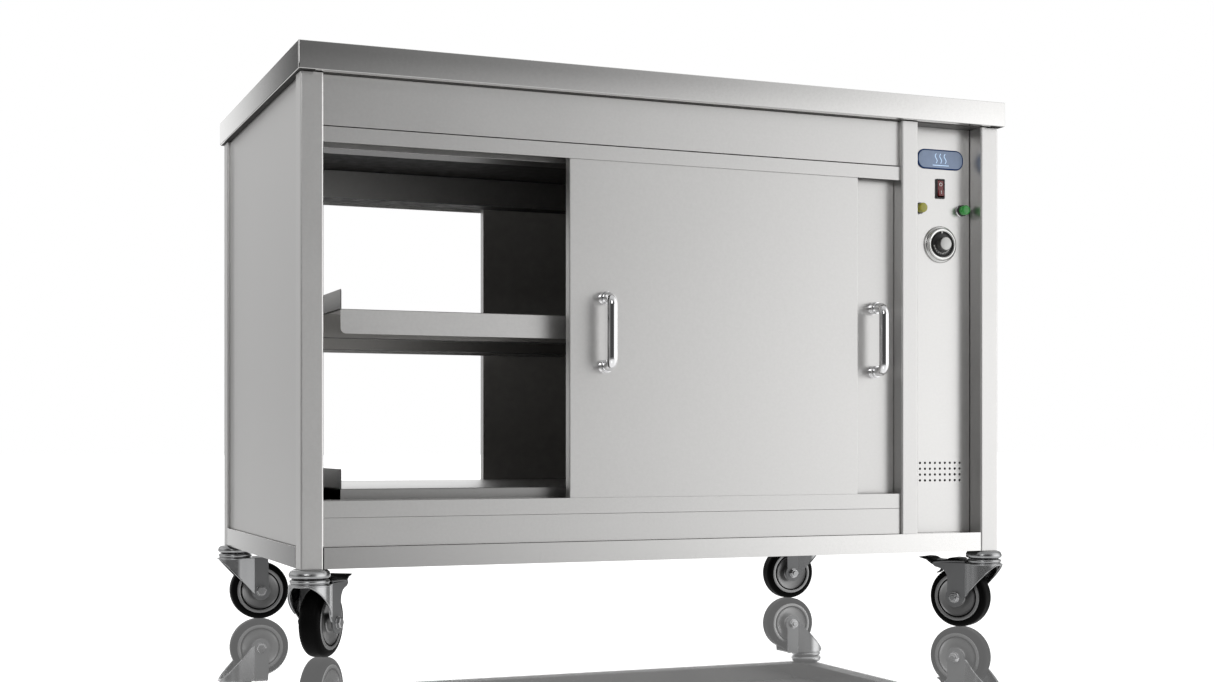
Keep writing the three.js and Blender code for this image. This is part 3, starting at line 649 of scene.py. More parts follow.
def add_heating_element():
    """The sheathed element, with its two ends in hexagonal bushes in the partition."""
    low, high = corners_in_mm(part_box("heating_element"))
    radius = (high.z - low.z) / 2
    z = (low.z + high.z) / 2
    front, back = low.y + radius, high.y - radius
    far, bend = low.x + radius, 40.0
    run = [(high.x, front, z)]
    run += [(x, y, z) for x, y in arc((far + bend, front + bend), bend, 270, 180, 12)]
    run += [(x, y, z) for x, y in arc((far + bend, back - bend), bend, 180, 90, 12)]
    run += [(high.x, back, z)]
    piece("element_tube", swept(run, radius, 16), sheath, "cabinet",
          replaces=["heating_element"])
    for name, y in (("front", front), ("rear", back)):
        bush = turned([(0, 0), (9, 0), (9, 8), (0, 8)], 6)
        place = Matrix.Translation(Vector((high.x - 9, y, z)) * MM) @ Matrix.Rotation(math.pi / 2, 4, "Y")
        piece(f"element_bush_{name}", bush, zinc_plate, "cabinet", place, edge=0.5)


add_heating_element()


# ---------------------------------------------------------------- doors and handles

def add_pull_handle(name, body):
    """A bent chrome rod on two turned bosses."""
    low, high = corners_in_mm(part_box(f"handle_{name}"))
    rod, boss, bend = 8.0, 10.2, 13.0
    x = (low.x + high.x) / 2
    door_y, crest = high.y, low.y + rod
    foot, head = low.z + boss, high.z - boss
    run = [(door_y - 1, foot)]
    run += arc((crest + bend, foot + bend), bend, 270, 180, 12)
    run += arc((crest + bend, head - bend), bend, 180, 90, 12)
    run += [(door_y - 1, head)]
    bar = swept([(x, y, z) for y, z in run], rod, 40)
    piece(f"handle_{name}_rod", bar, chrome, body, replaces=[f"handle_{name}"], sharp=60)
    groove, length = boss - 0.9, 14
    profile = [(0, 0), (boss, 0)]
    for z in (2.6, 7.2):
        profile += [(boss, z), (groove, z + 0.6), (groove, z + 1.4), (boss, z + 2.0)]
    profile += [(boss, 12.6), (boss - 0.5, 13.5), (rod, length), (0, length)]
    for end, z in (("lower", foot), ("upper", head)):
        place = out_of_front(x * MM, door_y * MM, z * MM)
        piece(f"handle_{name}_boss_{end}", turned(profile, 48), chrome, body, place, sharp=30)


def add_flush_pull(name, centre_x, face_y, height):
    """A pressed rim round the finger pocket of a rear door."""
    width, length, border, proud = 38, 118, 4, 1.2
    outer = rectangle(width, length, 6, steps=6)
    inner = rectangle(width - 2 * border, length - 2 * border, 2.5, steps=6)
    rim = extruded(outer, 0.0, proud, holes=[inner])
    place = out_of_rear(centre_x, face_y, height)
    piece(f"flush_pull_{name}", rim, zinc_plate, f"rear_{name}_door", place, edge=0.4)


add_pull_handle("front_left", "front_left_door")
add_pull_handle("front_right", "front_right_door")

PULL_INSET = 45 * MM
rear_left_low, rear_left_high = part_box("door_rear_left")
_, rear_right_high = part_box("door_rear_right")
pull_height = middle_of("handle_front_left").z
add_flush_pull("left", rear_left_low.x + PULL_INSET, rear_left_high.y, pull_height)
add_flush_pull("right", rear_right_high.x - PULL_INSET, rear_right_high.y, pull_height)


# ---------------------------------------------------------------- control column

BADGE_DROP = 54.3 * MM
PANEL_LOW, PANEL_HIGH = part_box("control_panel")
PANEL_FACE = PANEL_LOW.y
CONTROL_X = middle_of("thermostat_bezel").x


def add_control_panel():
    """A folded front plate, pierced for the controls and the vent."""
    low, high = in_mm(PANEL_LOW), in_mm(PANEL_HIGH)
    sheet = 1.5
    switch_hole, lamp_hole, dial_hole, vent_hole = (15, 31), 8, 22, 2.1
    vent_rise, pitch, columns, rows = 103.8, 10.0, 9, 4
    x = CONTROL_X / MM
    switch, dial = in_mm(middle_of("switch_housing")), in_mm(middle_of("thermostat_bezel"))
    holes = [rectangle(*switch_hole, centre=(x, switch.z))]
    for lamp in ("yellow", "green"):
        spot = in_mm(middle_of(f"pilot_lamp_{lamp}"))
        holes.append(circle(lamp_hole, (spot.x, spot.z), 24))
    holes.append(circle(dial_hole, (dial.x, dial.z), 40))
    for row in range(rows):
        for column in range(columns):
            across, up = column - (columns - 1) / 2, row - (rows - 1) / 2
            holes.append(circle(vent_hole, (x + across * pitch, low.z + vent_rise + up * pitch), 16))
    face = [(low.x, low.z), (high.x, low.z), (high.x, high.z), (low.x, high.z)]
    plate = extruded(face, 0, sheet, holes=holes)
    plate = shifted(moved(plate, STOOD_ALONG_X), y=low.y + sheet)
    inner = low.y + sheet
    returns = [
        block((low.x, inner, low.z), (low.x + sheet, high.y, high.z)),
        block((high.x - sheet, inner, low.z), (high.x, high.y, high.z)),
        block((low.x, inner, low.z), (high.x, high.y, low.z + sheet)),
        block((low.x, inner, high.z - sheet), (high.x, high.y, high.z)),
    ]
    panel = joined(plate, *returns)
    piece("control_panel_face", panel, control_steel, "cabinet",
          replaces=["control_panel"], edge=0.3)


add_control_panel()


def add_badge():
    """A domed pill with a plain heat sign: three wavy lines over a bar."""
    place = out_of_front(CONTROL_X, PANEL_FACE, PANEL_HIGH.z - BADGE_DROP)
    width, height, corner = 92.0, 34.0, 15.0
    rim = extruded(rectangle(width, height, corner, steps=16), 0.0, 1.8)
    piece("badge_rim", rim, badge_rim, "cabinet", place, edge=0.6)
    border = 2.2
    inner = rectangle(width - 2 * border, height - 2 * border, corner - border, steps=16)
    piece("badge_face", extruded(inner, 1.7, 2.3), badge_face, "cabinet", place, edge=0.5)
    strokes = []
    face, stroke = 2.3, 0.75
    sway, foot, rise = 1.9, -6.5, 1.35
    for x in (-9.0, 0.0, 9.0):
        wave = [(x + sway * math.sin(t * math.pi / 6), foot + t * rise, face) for t in range(13)]
        strokes.append(swept(wave, stroke, 10))
    strokes.append(swept([(-16, -10.2, face), (16, -10.2, face)], stroke, 10))
    # The printed sign glows, painted light.
    piece("badge_heat_sign", joined(*strokes), glowing_badge_print, "cabinet", place)


def add_switch():
    """A rocker in its bezel, pressed in at the top."""
    low, high = corners_in_mm(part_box("switch_housing"))
    width, height = high.x - low.x, high.z - low.z
    proud = PANEL_FACE / MM - low.y
    rim = 2.5
    centre = middle_of("switch_housing")
    place = out_of_front(centre.x, PANEL_FACE, centre.z)
    well = rectangle(width - 2 * rim, height - 2 * rim, 0.6)
    bezel = extruded(rectangle(width, height, 1.6), 0.2, proud, holes=[well])
    body = extruded(rectangle(width - 2.8, height - 4, 0.8), -24, 0.2, holes=[well])
    back = block((-width / 2 + 2, -height / 2 + 3, -24.5), (width / 2 - 2, height / 2 - 3, -13))
    housing = joined(bezel, body, back)
    piece("switch_bezel", housing, black_plastic, "cabinet", place,
          replaces=["switch_housing"], edge=0.45)

    pivot = Vector(JOINTS["power_rocker"]["pos_m"])
    tilt = math.radians(8)
    reach = height / 2 - rim - 1
    crown = 3.6
    proud_end = crown + reach * math.tan(tilt)
    outline = [
        (reach, proud_end), (reach - 1.5, -2), (0, -6), (-reach + 1.5, -2), (-reach, proud_end), (0, crown),
    ]
    half = width / 2 - rim - 0.3
    rocker = moved(extruded(outline, -half, half), STOOD_ALONG_Y)
    tipped = out_of_front(*pivot) @ Matrix.Rotation(-tilt, 4, "X")
    piece("rocker_cap", rocker, red_plastic, "rocker", tipped, replaces=["switch_rocker"],
          edge=0.7)
    for name, sign, mark in (
        ("off", 1, extruded(circle(3.0, segments=32), 0, 0.25, holes=[circle(2.1, segments=32)])),
        ("on", -1, extruded(rectangle(1.0, 6.0, 0.4), 0, 0.25)),
    ):
        slope = Matrix.Rotation(sign * tilt, 4, "X")
        middle = Vector((0, sign * reach / 2, crown + reach / 2 * math.tan(tilt)))
        on_face = tipped @ Matrix.Translation(middle * MM) @ slope
        piece(f"rocker_mark_{name}", mark, white_print, "rocker", on_face)


def add_lamp(colour, material):
    """A chrome ring, a black collar and a moulded lens."""
    centre = middle_of(f"pilot_lamp_{colour}")
    place = out_of_front(centre.x, PANEL_FACE, centre.z)
    lens = [(0, 3.0), (7.9, 3.0), (8.3, 8.0), (8.3, 14.8), (7.9, 15.9), (6.9, 16.4), (5.2, 16.5), (0, 16.7)]
    ring = [(7.5, 0.2), (10.4, 0.2), (10.4, 1.2), (9.8, 1.9), (7.5, 1.9)]
    collar = [(7.2, 1.7), (9.4, 1.7), (9.7, 5.6), (9.1, 6.6), (8.1, 6.8), (7.2, 5.6)]
    piece(f"lamp_{colour}_lens", turned(lens, 48), material, "cabinet", place,
          replaces=[f"pilot_lamp_{colour}"])
    piece(f"lamp_{colour}_ring", turned(ring, 48, ring=True), chrome, "cabinet", place)
    piece(f"lamp_{colour}_collar", turned(collar, 48, ring=True), black_plastic, "cabinet", place)


def numeral(text, size):
    """A flat printed number, centred on its own origin, in millimetres."""
    curve = bpy.data.curves.new("numeral", "FONT")
    curve.body = text
    curve.size = size
    curve.align_x = "CENTER"
    curve.align_y = "CENTER"
    curve.extrude = 0.08
    curve.resolution_u = 3
    holder = bpy.data.objects.new("numeral", curve)
    bpy.context.scene.collection.objects.link(holder)
    bpy.context.view_layer.update()
    mesh = bpy.data.meshes.new_from_object(holder)
    bm = bmesh.new()
    bm.from_mesh(mesh)
    bpy.data.objects.remove(holder)
    bpy.data.curves.remove(curve)
    bpy.data.meshes.remove(mesh)
    return bm


def add_thermostat():
    """A stepped chrome bezel round a black dial with its scale, and a metal grip in the middle."""
    centre = middle_of("thermostat_bezel")
    place = out_of_front(centre.x, PANEL_FACE, centre.z)
    bezel = [
        (21.8, 0.2), (31.5, 0.2), (31.5, 2.0), (30.9, 3.2), (29.6, 3.9), (28.3, 4.2), (27.7, 4.8),
        (27.4, 6.6), (26.9, 7.6), (26.0, 8.1), (24.4, 8.2), (22.6, 7.6), (21.9, 6.4), (21.8, 4.0),
    ]
    piece("thermostat_ring", turned(bezel, 96, ring=True), bezel_metal, "cabinet", place,
          replaces=["thermostat_bezel"])
    well = [(0, -20), (14, -20), (14, 0.2), (21.7, 0.2), (21.7, 5.0), (20.3, 5.0), (20.1, 3.4), (0, 3.4)]
    piece("thermostat_well", turned(well, 72), black_plastic, "cabinet", place)
    pointer = extruded([(-1.7, 21.9), (0, 17.8), (1.7, 21.9)], 6.6, 6.9)
    piece("thermostat_pointer", pointer, white_print, "cabinet", place)

    skirt = [(0, 4.2), (19.3, 4.2), (19.4, 5.4), (18.9, 6.2), (12.2, 7.4), (11.4, 8.2), (0, 8.2)]
    piece("dial_skirt", turned(skirt, 96), black_print, "knob", place,
          replaces=["thermostat_knob"])
    grip = [(0, 7.6), (11.3, 7.6), (11.2, 18.2), (10.9, 19.0), (10.2, 19.4), (0, 19.4)]
    piece("dial_grip", turned(grip, 96), knob_metal, "knob", place)
    values = range(30, 120, 10)
    first_angle, last_angle, slope = 192.0, 328.0, 10.0
    on_skirt = Matrix.Translation((0, -15.8 * MM, 6.85 * MM)) @ Matrix.Rotation(math.radians(slope), 4, "X")
    for i, value in enumerate(values):
        angle = first_angle + (last_angle - first_angle) * i / (len(values) - 1)
        turn = Matrix.Rotation(math.radians(angle + 90), 4, "Z")
        piece(f"dial_number_{value}", numeral(str(value), 3.4), white_print, "knob", place @ turn @ on_skirt)


add_badge()
add_switch()
add_lamp("yellow", yellow_lens)
add_lamp("green", green_lens)
add_thermostat()


def add_gland():
    """A dome nut that would grip the supply lead."""
    low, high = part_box("cable_gland")
    centre = (low + high) / 2
    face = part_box("column_rear_cover")[1].y
    place = out_of_rear(centre.x, face, centre.z)
    flange = turned([(4.2, 0.2), (11.5, 0.2), (11.5, 2.6), (4.2, 2.6)], 48, ring=True)
    nut = turned([(4.2, 2.4), (11.0, 2.4), (11.0, 8.5), (4.2, 8.5)], 6, ring=True)
    cap = [(4.2, 8.3), (9.0, 8.3), (8.6, 10.4), (7.0, 11.9), (4.8, 12.4), (4.2, 12.0)]
    dome = turned(cap, 48, ring=True)
    thread = turned([(4.2, -14), (7.6, -14), (7.6, 0.3), (4.2, 0.3)], 48, ring=True)
    piece("gland_nut", joined(flange, nut, dome, thread), black_plastic, "cabinet", place,
          replaces=["cable_gland"], edge=0.35)


def add_cover_screws():
    """Pan-head screws down both sides of the cover behind the column."""
    low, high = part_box("column_rear_cover")
    inset = 9 * MM
    dome = [(0, 0), (4.2, 0), (4.2, 0.8), (3.7, 1.7), (2.4, 2.3), (1.3, 2.4), (1.0, 1.2), (0, 1.2)]
    for i, share in enumerate((0.04, 0.35, 0.65, 0.96)):
        height = low.z + share * (high.z - low.z)
        for hand, x in (("left", low.x + inset), ("right", high.x - inset)):
            place = out_of_rear(x, high.y, height)
            piece(f"cover_screw_{hand}_{i + 1}", turned(dome, 32), zinc, "cabinet", place)


def add_fan_grille():
    """Wire rings over the fan duct, on the chamber's side of the partition."""
    low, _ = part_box("partition")
    middle = middle_of("fan_rotor")
    place = Matrix.Translation((low.x, middle.y, middle.z)) @ Matrix.Rotation(-math.pi / 2, 4, "Y")
    wire, stand, reach = 1.3, 3.2, 70
    parts = []
    for radius in (14, 27, 40, 53, 66):
        ring = [(x, y, stand) for x, y in arc((0, 0), radius, 0, 352.5, 47)]
        parts.append(swept(ring, wire, 10, closed=True))
    for turn in (45, 135):
        c, s = math.cos(math.radians(turn)), math.sin(math.radians(turn))
        parts.append(swept([(-reach * c, -reach * s, wire), (reach * c, reach * s, wire)], wire, 10))
    piece("fan_grille", joined(*parts), zinc, "cabinet", place)


add_gland()
add_cover_screws()
add_fan_grille()


# ---------------------------------------------------------------- castors

# Sizes that the castor's pieces share, in millimetres in its own frame. END_RADIUS rounds the side
# plates off at the axle, SKIRT is the radius of the fork's bent front, PLATE is how far out the side
# plates stand, and WALL is their sheet.
AXLE_X, AXLE_Z, END_RADIUS = 42.5, 52.0, 16.7
SKIRT, PLATE, WALL = 31.0, 26.3, 2.4
PLATE_BACK, PLATE_TOP = 56.0, 112.0


def castor_place(corner):
    """The castor's frame: on the floor under its stem, with X the way the wheel trails."""
    centre = middle_of(f"leg_{corner}")
    axis = JOINTS[f"castor_{corner}_roll"]["axis"]
    heading = math.atan2(-axis[0], axis[1])
    return Matrix.Translation((centre.x, centre.y, 0)) @ Matrix.Rotation(heading, 4, "Z")


def add_castor_head(corner, place):
    """The upper ball race, with its stem up in the leg."""
    outer = [
        (0, 134.2), (22.8, 134.2), (26.1, 133.2), (28.8, 131.0), (30.3, 128.0), (30.7, 125.4), (30.2, 123.2),
        (28.8, 121.6), (27.0, 120.9), (25.5, 120.6), (25.3, 120.2), (0, 120.2),
    ]
    stem = turned([(0, 133.5), (11, 133.5), (11, 169), (9.5, 170.5), (0, 170.5)], 40)
    piece(f"castor_{corner}_race", joined(turned(outer, 96), stem), zinc, "cabinet", place,
          replaces=[f"castor_{corner}_head"], sharp=60)


def cut_height(x):
    """The lower edge of the fork, which slopes from its front lip down to the axle."""
    return min(110.0, 79.5 - 1.06 * x)


def plate_front(braked):
    """Where the flat side plate starts behind the stem."""
    return 23.5 if braked else 31.0


def plate_outline(braked):
    """A side plate in X and Z: straight sides, a round end at the axle, and a tail under the pedal."""
    front = plate_front(braked)
    if braked:
        tail = [(82.5, PLATE_TOP), (84.4, 108.4), (79, 104), (69.5, 101.6), (63.5, 99.2), (57.6, 92)]
        corners = [(front, PLATE_TOP), *tail, (PLATE_BACK, 85)]
        top = filleted(corners, [0, 0.8, 1.2, 3, 6, 6, 6, 6], closed=False)
    else:
        top = [(front, PLATE_TOP), (53.5, PLATE_TOP), (55.0, 110.5), (PLATE_BACK, 100)]
    meets = math.degrees(math.acos((PLATE_BACK - AXLE_X) / END_RADIUS))
    return [*top, *arc((AXLE_X, AXLE_Z), END_RADIUS, meets, -180, 40), (front, cut_height(front))]


def fork_skirt(braked):
    """The sheet bent round the front of the wheel, from one side plate to the other."""
    front = plate_front(braked)
    if braked:
        bend, opening = [(front, PLATE), (20.5, 26.5), (17.5, 26.9), (14.0, 27.9)], 68.0
    else:
        bend, opening = [(front, PLATE), (26.0, 27.1), (20.0, 28.1), (14.0, 29.1)], 76.0
    round_front = arc((0, 0), SKIRT, opening, 360 - opening, 56)
    line = [*bend, *round_front, *[(x, -y) for x, y in reversed(bend)]]
    high = PLATE_TOP - 1
    sections = []
    for x, y in line:
        share = 1 - WALL / math.hypot(x, y)
        inner_x, inner_y = x * share, y * share
        low = cut_height(x)
        sections.append([(x, y, low), (x, y, high), (inner_x, inner_y, high), (inner_x, inner_y, low)])
    return lofted(sections), [(x, y, cut_height(x)) for x, y in round_front]


def add_castor_fork(corner, place, body, braked):
    """The fork: a bent sheet with a rolled lip, the lower race over it, and two side plates."""
    skirt, edge_line = fork_skirt(braked)
    crown = turned([
        (0, 108.0), (28.0, 108.0), (30.2, 108.4), (31.2, 109.4), (31.1, 110.6), (30.3, 111.8), (29.0, 112.6),
        (28.3, 113.3), (28.7, 114.2), (29.4, 115.3), (29.6, 116.6), (29.0, 118.1), (27.8, 119.1),
        (25.9, 119.6), (0, 119.6),
    ], 96)
    rim = swept([Vector(p) + Vector((p[0], p[1], 0)).normalized() * 0.1 for p in edge_line], 1.1, 12)
    plates = [
        shifted(moved(extruded(plate_outline(braked), -WALL, 0), STOOD_ALONG_X), y=low)
        for low in (-PLATE, PLATE - WALL)
    ]
    if braked:
        bead = [(24, 24.6, 114.6), (50, 24.6, 114.2), (68, 24.7, 113.2), (81.5, 25, 111.4)]
        for sign in (-1, 1):
            plates.append(swept([(x, sign * y, z) for x, y, z in bead], 1.9, 12))
    else:
        plates.append(block((8, -PLATE + 0.5, 109.2), (52.5, PLATE - 0.5, 111.6)))
    name = f"castor_{corner}"
    piece(f"{name}_fork_shell", joined(skirt, crown, rim), zinc, body, place,
          replaces=[f"{name}_fork"], sharp=50)
    piece(f"{name}_fork_plates", joined(*plates), zinc_plate, body, place, edge=0.4)
    add_axle_bolt(name, place, body)


def add_axle_bolt(name, place, body):
    """A hexagon bolt through the fork, with a lock nut and a washer at each side."""
    at_axle = place @ Matrix.Translation((AXLE_X * MM, 0, AXLE_Z * MM))
    shank, washer, head = 5, 9.6, 8.7
    low, middle, high, crown = PLATE + 0.1, PLATE + 1.2, PLATE + 5.8, PLATE + 6.9
    washer_profile = [(shank, low), (washer, low), (washer, PLATE + 1.3), (shank, PLATE + 1.3)]
    hexagon_profile = [(0, middle), (head, middle), (head, high), (7.8, crown), (0, crown)]
    for end, sign in (("head", -1), ("nut", 1)):
        face = at_axle @ Matrix.Rotation(math.radians(-90 * sign), 4, "X")
        bolt = joined(turned(washer_profile, 40, ring=True), turned(hexagon_profile, 6))
        piece(f"{name}_bolt_{end}", bolt, bolt_metal, body, face, edge=0.4)
    rod = [(0, -PLATE), (shank, -PLATE), (shank, PLATE + 9), (4.2, PLATE + 9.8), (0, PLATE + 9.8)]
    along = at_axle @ Matrix.Rotation(math.radians(-90), 4, "X")
    piece(f"{name}_bolt_shank", turned(rod, 32), zinc, body, along)


def mirrored_ring(half):
    """A ring profile that is the same on both sides of the wheel."""
    return [(r, -h) for r, h in half] + [(r, h) for r, h in reversed(half)]


def add_wheel(corner, place, body):
    """The hub, its tyre, and a dark seal in the groove on each side."""
    hub_half = [
        (5.3, 22.0), (11.6, 22.0), (12.6, 21.2), (13.2, 14.5), (14.6, 13.2), (17.0, 12.8), (29.5, 14.6),
        (32.2, 15.6), (33.0, 16.2), (33.2, 13.2), (35.4, 13.2), (35.6, 16.6), (36.3, 17.0), (38.5, 17.2),
        (40.6, 17.0), (41.3, 16.2),
    ]
    tyre_half = [(41.5, 15.6), (41.7, 16.6)] + [(r, h) for h, r in arc((7.4, 42.6), 9.4, 8, 90, 13)]
    groove = [(33.25, 12.9), (35.35, 12.9), (35.35, 15.4), (33.25, 15.4)]
    at_axle = Matrix.Translation((AXLE_X * MM, 0, AXLE_Z * MM))
    on_axle = place @ at_axle @ Matrix.Rotation(-math.pi / 2, 4, "X")
    name = f"castor_{corner}"
    piece(f"{name}_wheel_hub", turned(mirrored_ring(hub_half), 96, ring=True), hub_grey, body, on_axle,
          replaces=[f"{name}_hub"], sharp=32)
    piece(f"{name}_wheel_tyre", turned(mirrored_ring(tyre_half), 128, ring=True), tyre_rubber, body, on_axle,
          replaces=[f"{name}_tyre"], sharp=60)
    for hand, sign in (("inner", -1), ("outer", 1)):
        seal = turned([(r, sign * h) for r, h in groove], 96, ring=True)
        piece(f"{name}_seal_{hand}", seal, tyre_rubber, body, on_axle)


def add_brake_pedal(corner, place, body):
    """A pressed pedal over the wheel, turned up at its tip."""
    # Each is x, the underside, the top and half the width.
    stations = [
        (36, 108.0, 116.5, 18), (40, 108.0, 119.6, 18.5), (52, 108.0, 120.2, 19), (56, 107.8, 119.6, 19.5),
        (61, 107.4, 116.6, 20), (76, 106.8, 115.4, 21.4), (87, 107.4, 115.8, 22), (91, 109.8, 117.4, 22),
        (94, 112.0, 119.2, 22), (98, 114.9, 120.1, 22), (105, 117.0, 120.4, 22), (109.5, 118.2, 120.2, 21.6),
        (112, 118.7, 119.8, 20), (113, 119.0, 119.5, 17),
    ]
    sections = []
    for x, low, high, half in stations:
        radius = min(2.4, (high - low) * 0.45)
        outline = rectangle(2 * half, high - low, radius, (0, (low + high) / 2), steps=4)
        sections.append([(x, y, z) for y, z in outline])
    piece(f"castor_{corner}_brake_pedal", lofted(sections), pedal_paint, body, place,
          replaces=[f"castor_{corner}_pedal"], sharp=40)


def add_brake_spring(corner, place, body):
    """The hooked end of the brake's leaf spring, behind the wheel."""
    line = [(66, 106.5), (71.5, 105), (75.5, 102), (76.5, 98), (79.5, 94.5), (84, 92.2)]
    half_sheet, half_width = 0.9, 7
    sections = []
    for i, (x, z) in enumerate(line):
        behind, ahead = Vector(line[max(i - 1, 0)]), Vector(line[min(i + 1, len(line) - 1)])
        along = (ahead - behind).normalized()
        out_x, out_z = -along.y * half_sheet, along.x * half_sheet
        upper, lower = (x + out_x, z + out_z), (x - out_x, z - out_z)
        sections.append([
            (upper[0], -half_width, upper[1]), (upper[0], half_width, upper[1]),
            (lower[0], half_width, lower[1]), (lower[0], -half_width, lower[1]),
        ])
    piece(f"castor_{corner}_brake_spring", lofted(sections), pedal_paint, body, place, edge=0.4)


for corner in CORNERS:
    place = castor_place(corner)
    swivel = f"{corner}_swivel"
    add_castor_head(corner, place)
    add_castor_fork(corner, place, swivel, corner in BRAKED)
    add_wheel(corner, place, f"{corner}_wheel")
    if corner in BRAKED:
        add_brake_pedal(corner, place, f"{corner}_brake")
        add_brake_spring(corner, place, swivel)


# ---------------------------------------------------------------- studio

def add_floor():
    """A pale floor that mirrors the object at a low angle and is plain white from above."""
    material = bpy.data.materials.new("floor_white")
    material.use_nodes = True
    tree = material.node_tree
    tree.nodes.clear()
    output = tree.nodes.new("ShaderNodeOutputMaterial")
    mix = tree.nodes.new("ShaderNodeMixShader")
    plain = tree.nodes.new("ShaderNodeEmission")
    plain.inputs["Color"].default_value = (1, 1, 1, 1)
    mirror = tree.nodes.new("ShaderNodeBsdfGlossy")
    mirror.inputs["Color"].default_value = (1, 1, 1, 1)
    mirror.inputs["Roughness"].default_value = 0.02
    facing = tree.nodes.new("ShaderNodeLayerWeight")
    share = spread(tree, facing.outputs["Facing"], 0.25, 0.88, 0.68, 0.86)
    tree.links.new(share, mix.inputs["Fac"])
    tree.links.new(plain.outputs["Emission"], mix.inputs[1])
    tree.links.new(mirror.outputs["BSDF"], mix.inputs[2])
    tree.links.new(mix.outputs["Shader"], output.inputs["Surface"])
    half = 40.0
    corners = [(-half, -half, 0), (half, -half, 0), (half, half, 0), (-half, half, 0)]
    mesh = bpy.data.meshes.new("floor")
    mesh.from_pydata(corners, [], [(0, 1, 2, 3)])
    mesh.materials.append(material)
    floor = bpy.data.objects.new("floor", mesh)
    bpy.context.scene.collection.objects.link(floor)


def ramp_by_direction(tree, angle, stops):
    """Brightness by compass direction. stops are (degrees from -Y towards +X, brightness)."""
    ramp = tree.nodes.new("ShaderNodeValToRGB")
    ramp.color_ramp.interpolation = "LINEAR"
    elements = ramp.color_ramp.elements
    while len(elements) < len(stops):
        elements.new(0.5)
    for element, (degrees, _) in zip(elements, stops):
        element.position = (degrees + 180) / 360
    for element, (_, value) in zip(elements, stops):
        element.color = (value, value, value, 1)
    tree.links.new(angle, ramp.inputs["Fac"])
    return ramp.outputs["Color"]


NEAR_HORIZON = [
    (-180, 1.5), (-172, 1.5), (-171, 1.35), (-170, 0.85), (-169, 0.2), (-168.2, 0.04), (-163, 0.04),
    (-161, 0.5), (-152, 0.6), (-140, 0.3), (-96, 0.3), (-84, 0.27), (-70, 0.06), (-12, 0.06), (-2, 0.1),
    (6, 0.2), (10, 0.3), (13, 0.41), (18, 0.72), (24.5, 1.1), (30, 1.56), (34, 1.92), (40, 2.2), (70, 2.1),
    (90, 1.2), (99, 0.34), (126, 0.3), (138, 1.4), (180, 1.5),
]
HIGHER_UP = [
    (-180, 1.6), (-172, 1.6), (-171, 1.4), (-170, 0.8), (-169, 0.12), (-168.2, 0.03), (-163, 0.03),
    (-161, 0.7), (-150, 1.0), (-96, 1.0), (-84, 0.3), (-70, 0.05), (-12, 0.05), (-2, 0.08), (6, 0.12),
    (12, 0.185), (16, 0.26), (20.6, 0.37), (24.6, 0.54), (28.4, 0.8), (32, 1.12), (35, 1.5), (70, 1.8),
    (90, 1.0), (99, 0.4), (126, 0.4), (138, 1.3), (180, 1.6),
]
OVERHEAD = 0.6


def rise_between(tree, height, low, high):
    """0 to 1 as a direction climbs from one elevation in degrees to another."""
    return spread(tree, height, 0.0, 1.0, math.sin(math.radians(low)), math.sin(math.radians(high)))


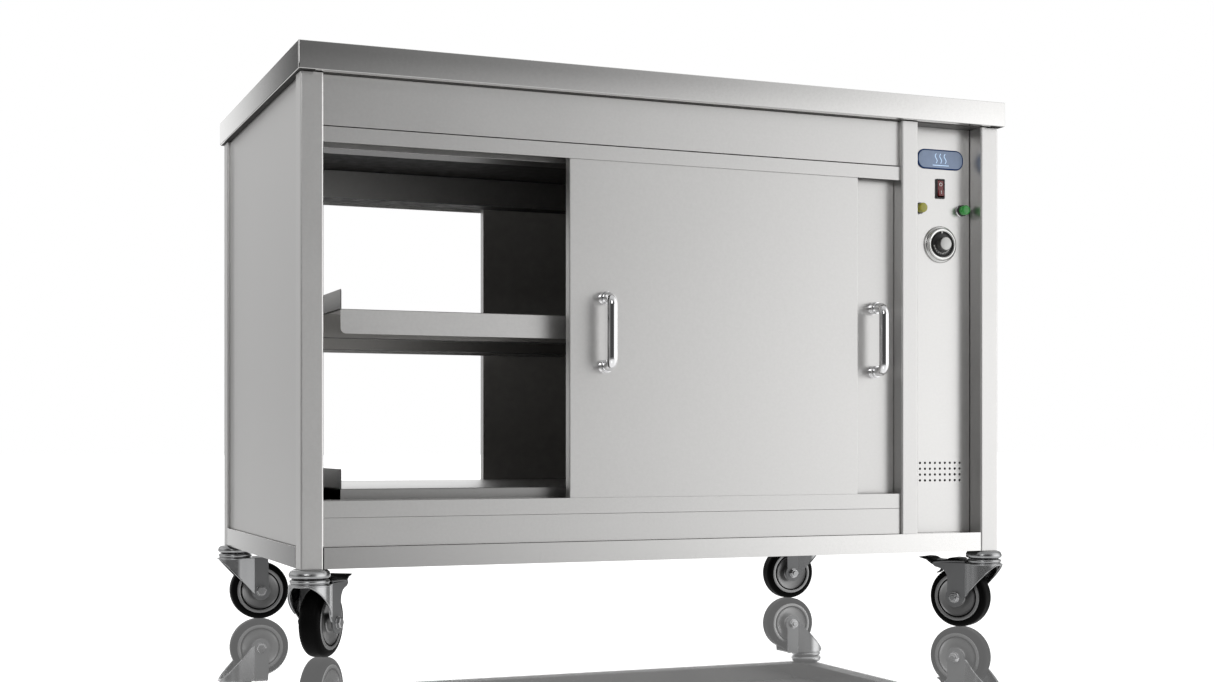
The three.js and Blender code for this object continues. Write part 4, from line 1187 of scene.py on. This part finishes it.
def add_world():
    """White behind the object for the camera, and a studio's soft gradients for every reflection."""
    world = bpy.data.worlds.new("studio")
    bpy.context.scene.world = world
    world.use_nodes = True
    tree = world.node_tree
    tree.nodes.clear()
    output = tree.nodes.new("ShaderNodeOutputWorld")
    direction = tree.nodes.new("ShaderNodeTexCoord")
    parts = tree.nodes.new("ShaderNodeSeparateXYZ")
    tree.links.new(direction.outputs["Generated"], parts.inputs["Vector"])
    towards_front = tree.nodes.new("ShaderNodeMath")
    towards_front.operation = "MULTIPLY"
    towards_front.inputs[1].default_value = -1.0
    tree.links.new(parts.outputs["Y"], towards_front.inputs[0])
    compass = combined(tree, "ARCTAN2", parts.outputs["X"], towards_front.outputs["Value"])
    angle = spread(tree, compass, 0.0, 1.0, -math.pi, math.pi)
    low = ramp_by_direction(tree, angle, NEAR_HORIZON)
    high = ramp_by_direction(tree, angle, HIGHER_UP)
    sides = tree.nodes.new("ShaderNodeMix")
    sides.data_type = "RGBA"
    tree.links.new(rise_between(tree, parts.outputs["Z"], 2, 14), sides.inputs["Factor"])
    tree.links.new(low, sides.inputs["A"])
    tree.links.new(high, sides.inputs["B"])
    dome = tree.nodes.new("ShaderNodeMix")
    dome.data_type = "RGBA"
    dome.inputs["B"].default_value = (OVERHEAD, OVERHEAD, OVERHEAD, 1)
    tree.links.new(rise_between(tree, parts.outputs["Z"], 25, 60), dome.inputs["Factor"])
    tree.links.new(sides.outputs["Result"], dome.inputs["A"])
    studio = tree.nodes.new("ShaderNodeBackground")
    tree.links.new(dome.outputs["Result"], studio.inputs["Color"])
    white = tree.nodes.new("ShaderNodeBackground")
    white.inputs["Color"].default_value = (1, 1, 1, 1)
    path = tree.nodes.new("ShaderNodeLightPath")
    seen = tree.nodes.new("ShaderNodeMixShader")
    tree.links.new(path.outputs["Is Camera Ray"], seen.inputs["Fac"])
    tree.links.new(studio.outputs["Background"], seen.inputs[1])
    tree.links.new(white.outputs["Background"], seen.inputs[2])
    tree.links.new(seen.outputs["Shader"], output.inputs["Surface"])


def add_softbox():
    """A large soft light behind the camera, above the horizon."""
    data = bpy.data.lights.new("softbox", "AREA")
    data.size = 1.6
    data.energy = 22.0
    azimuth, elevation, distance = math.radians(-35), math.radians(24), 4.5
    level = math.cos(elevation)
    out = Vector((math.sin(azimuth) * level, -math.cos(azimuth) * level, math.sin(elevation)))
    light = bpy.data.objects.new("softbox", data)
    light.location = Vector((0, 0, 0.45)) + out * distance
    light.rotation_euler = out.to_track_quat("Z", "Y").to_euler()
    light.visible_camera = False
    bpy.context.scene.collection.objects.link(light)


def add_camera():
    """The photo's camera."""
    data = bpy.data.cameras.new("camera")
    data.sensor_width = 36.0
    data.lens = 50.11
    data.shift_y = 0.08365
    camera = bpy.data.objects.new("camera", data)
    camera.location = (-1.1153, -2.7684, 0.32)
    camera.rotation_euler = (math.radians(90), 0.0, math.radians(-22.09))
    bpy.context.scene.collection.objects.link(camera)
    bpy.context.scene.camera = camera


add_floor()
add_world()
add_softbox()
add_camera()
bpy.context.scene.view_settings.view_transform = "Standard"
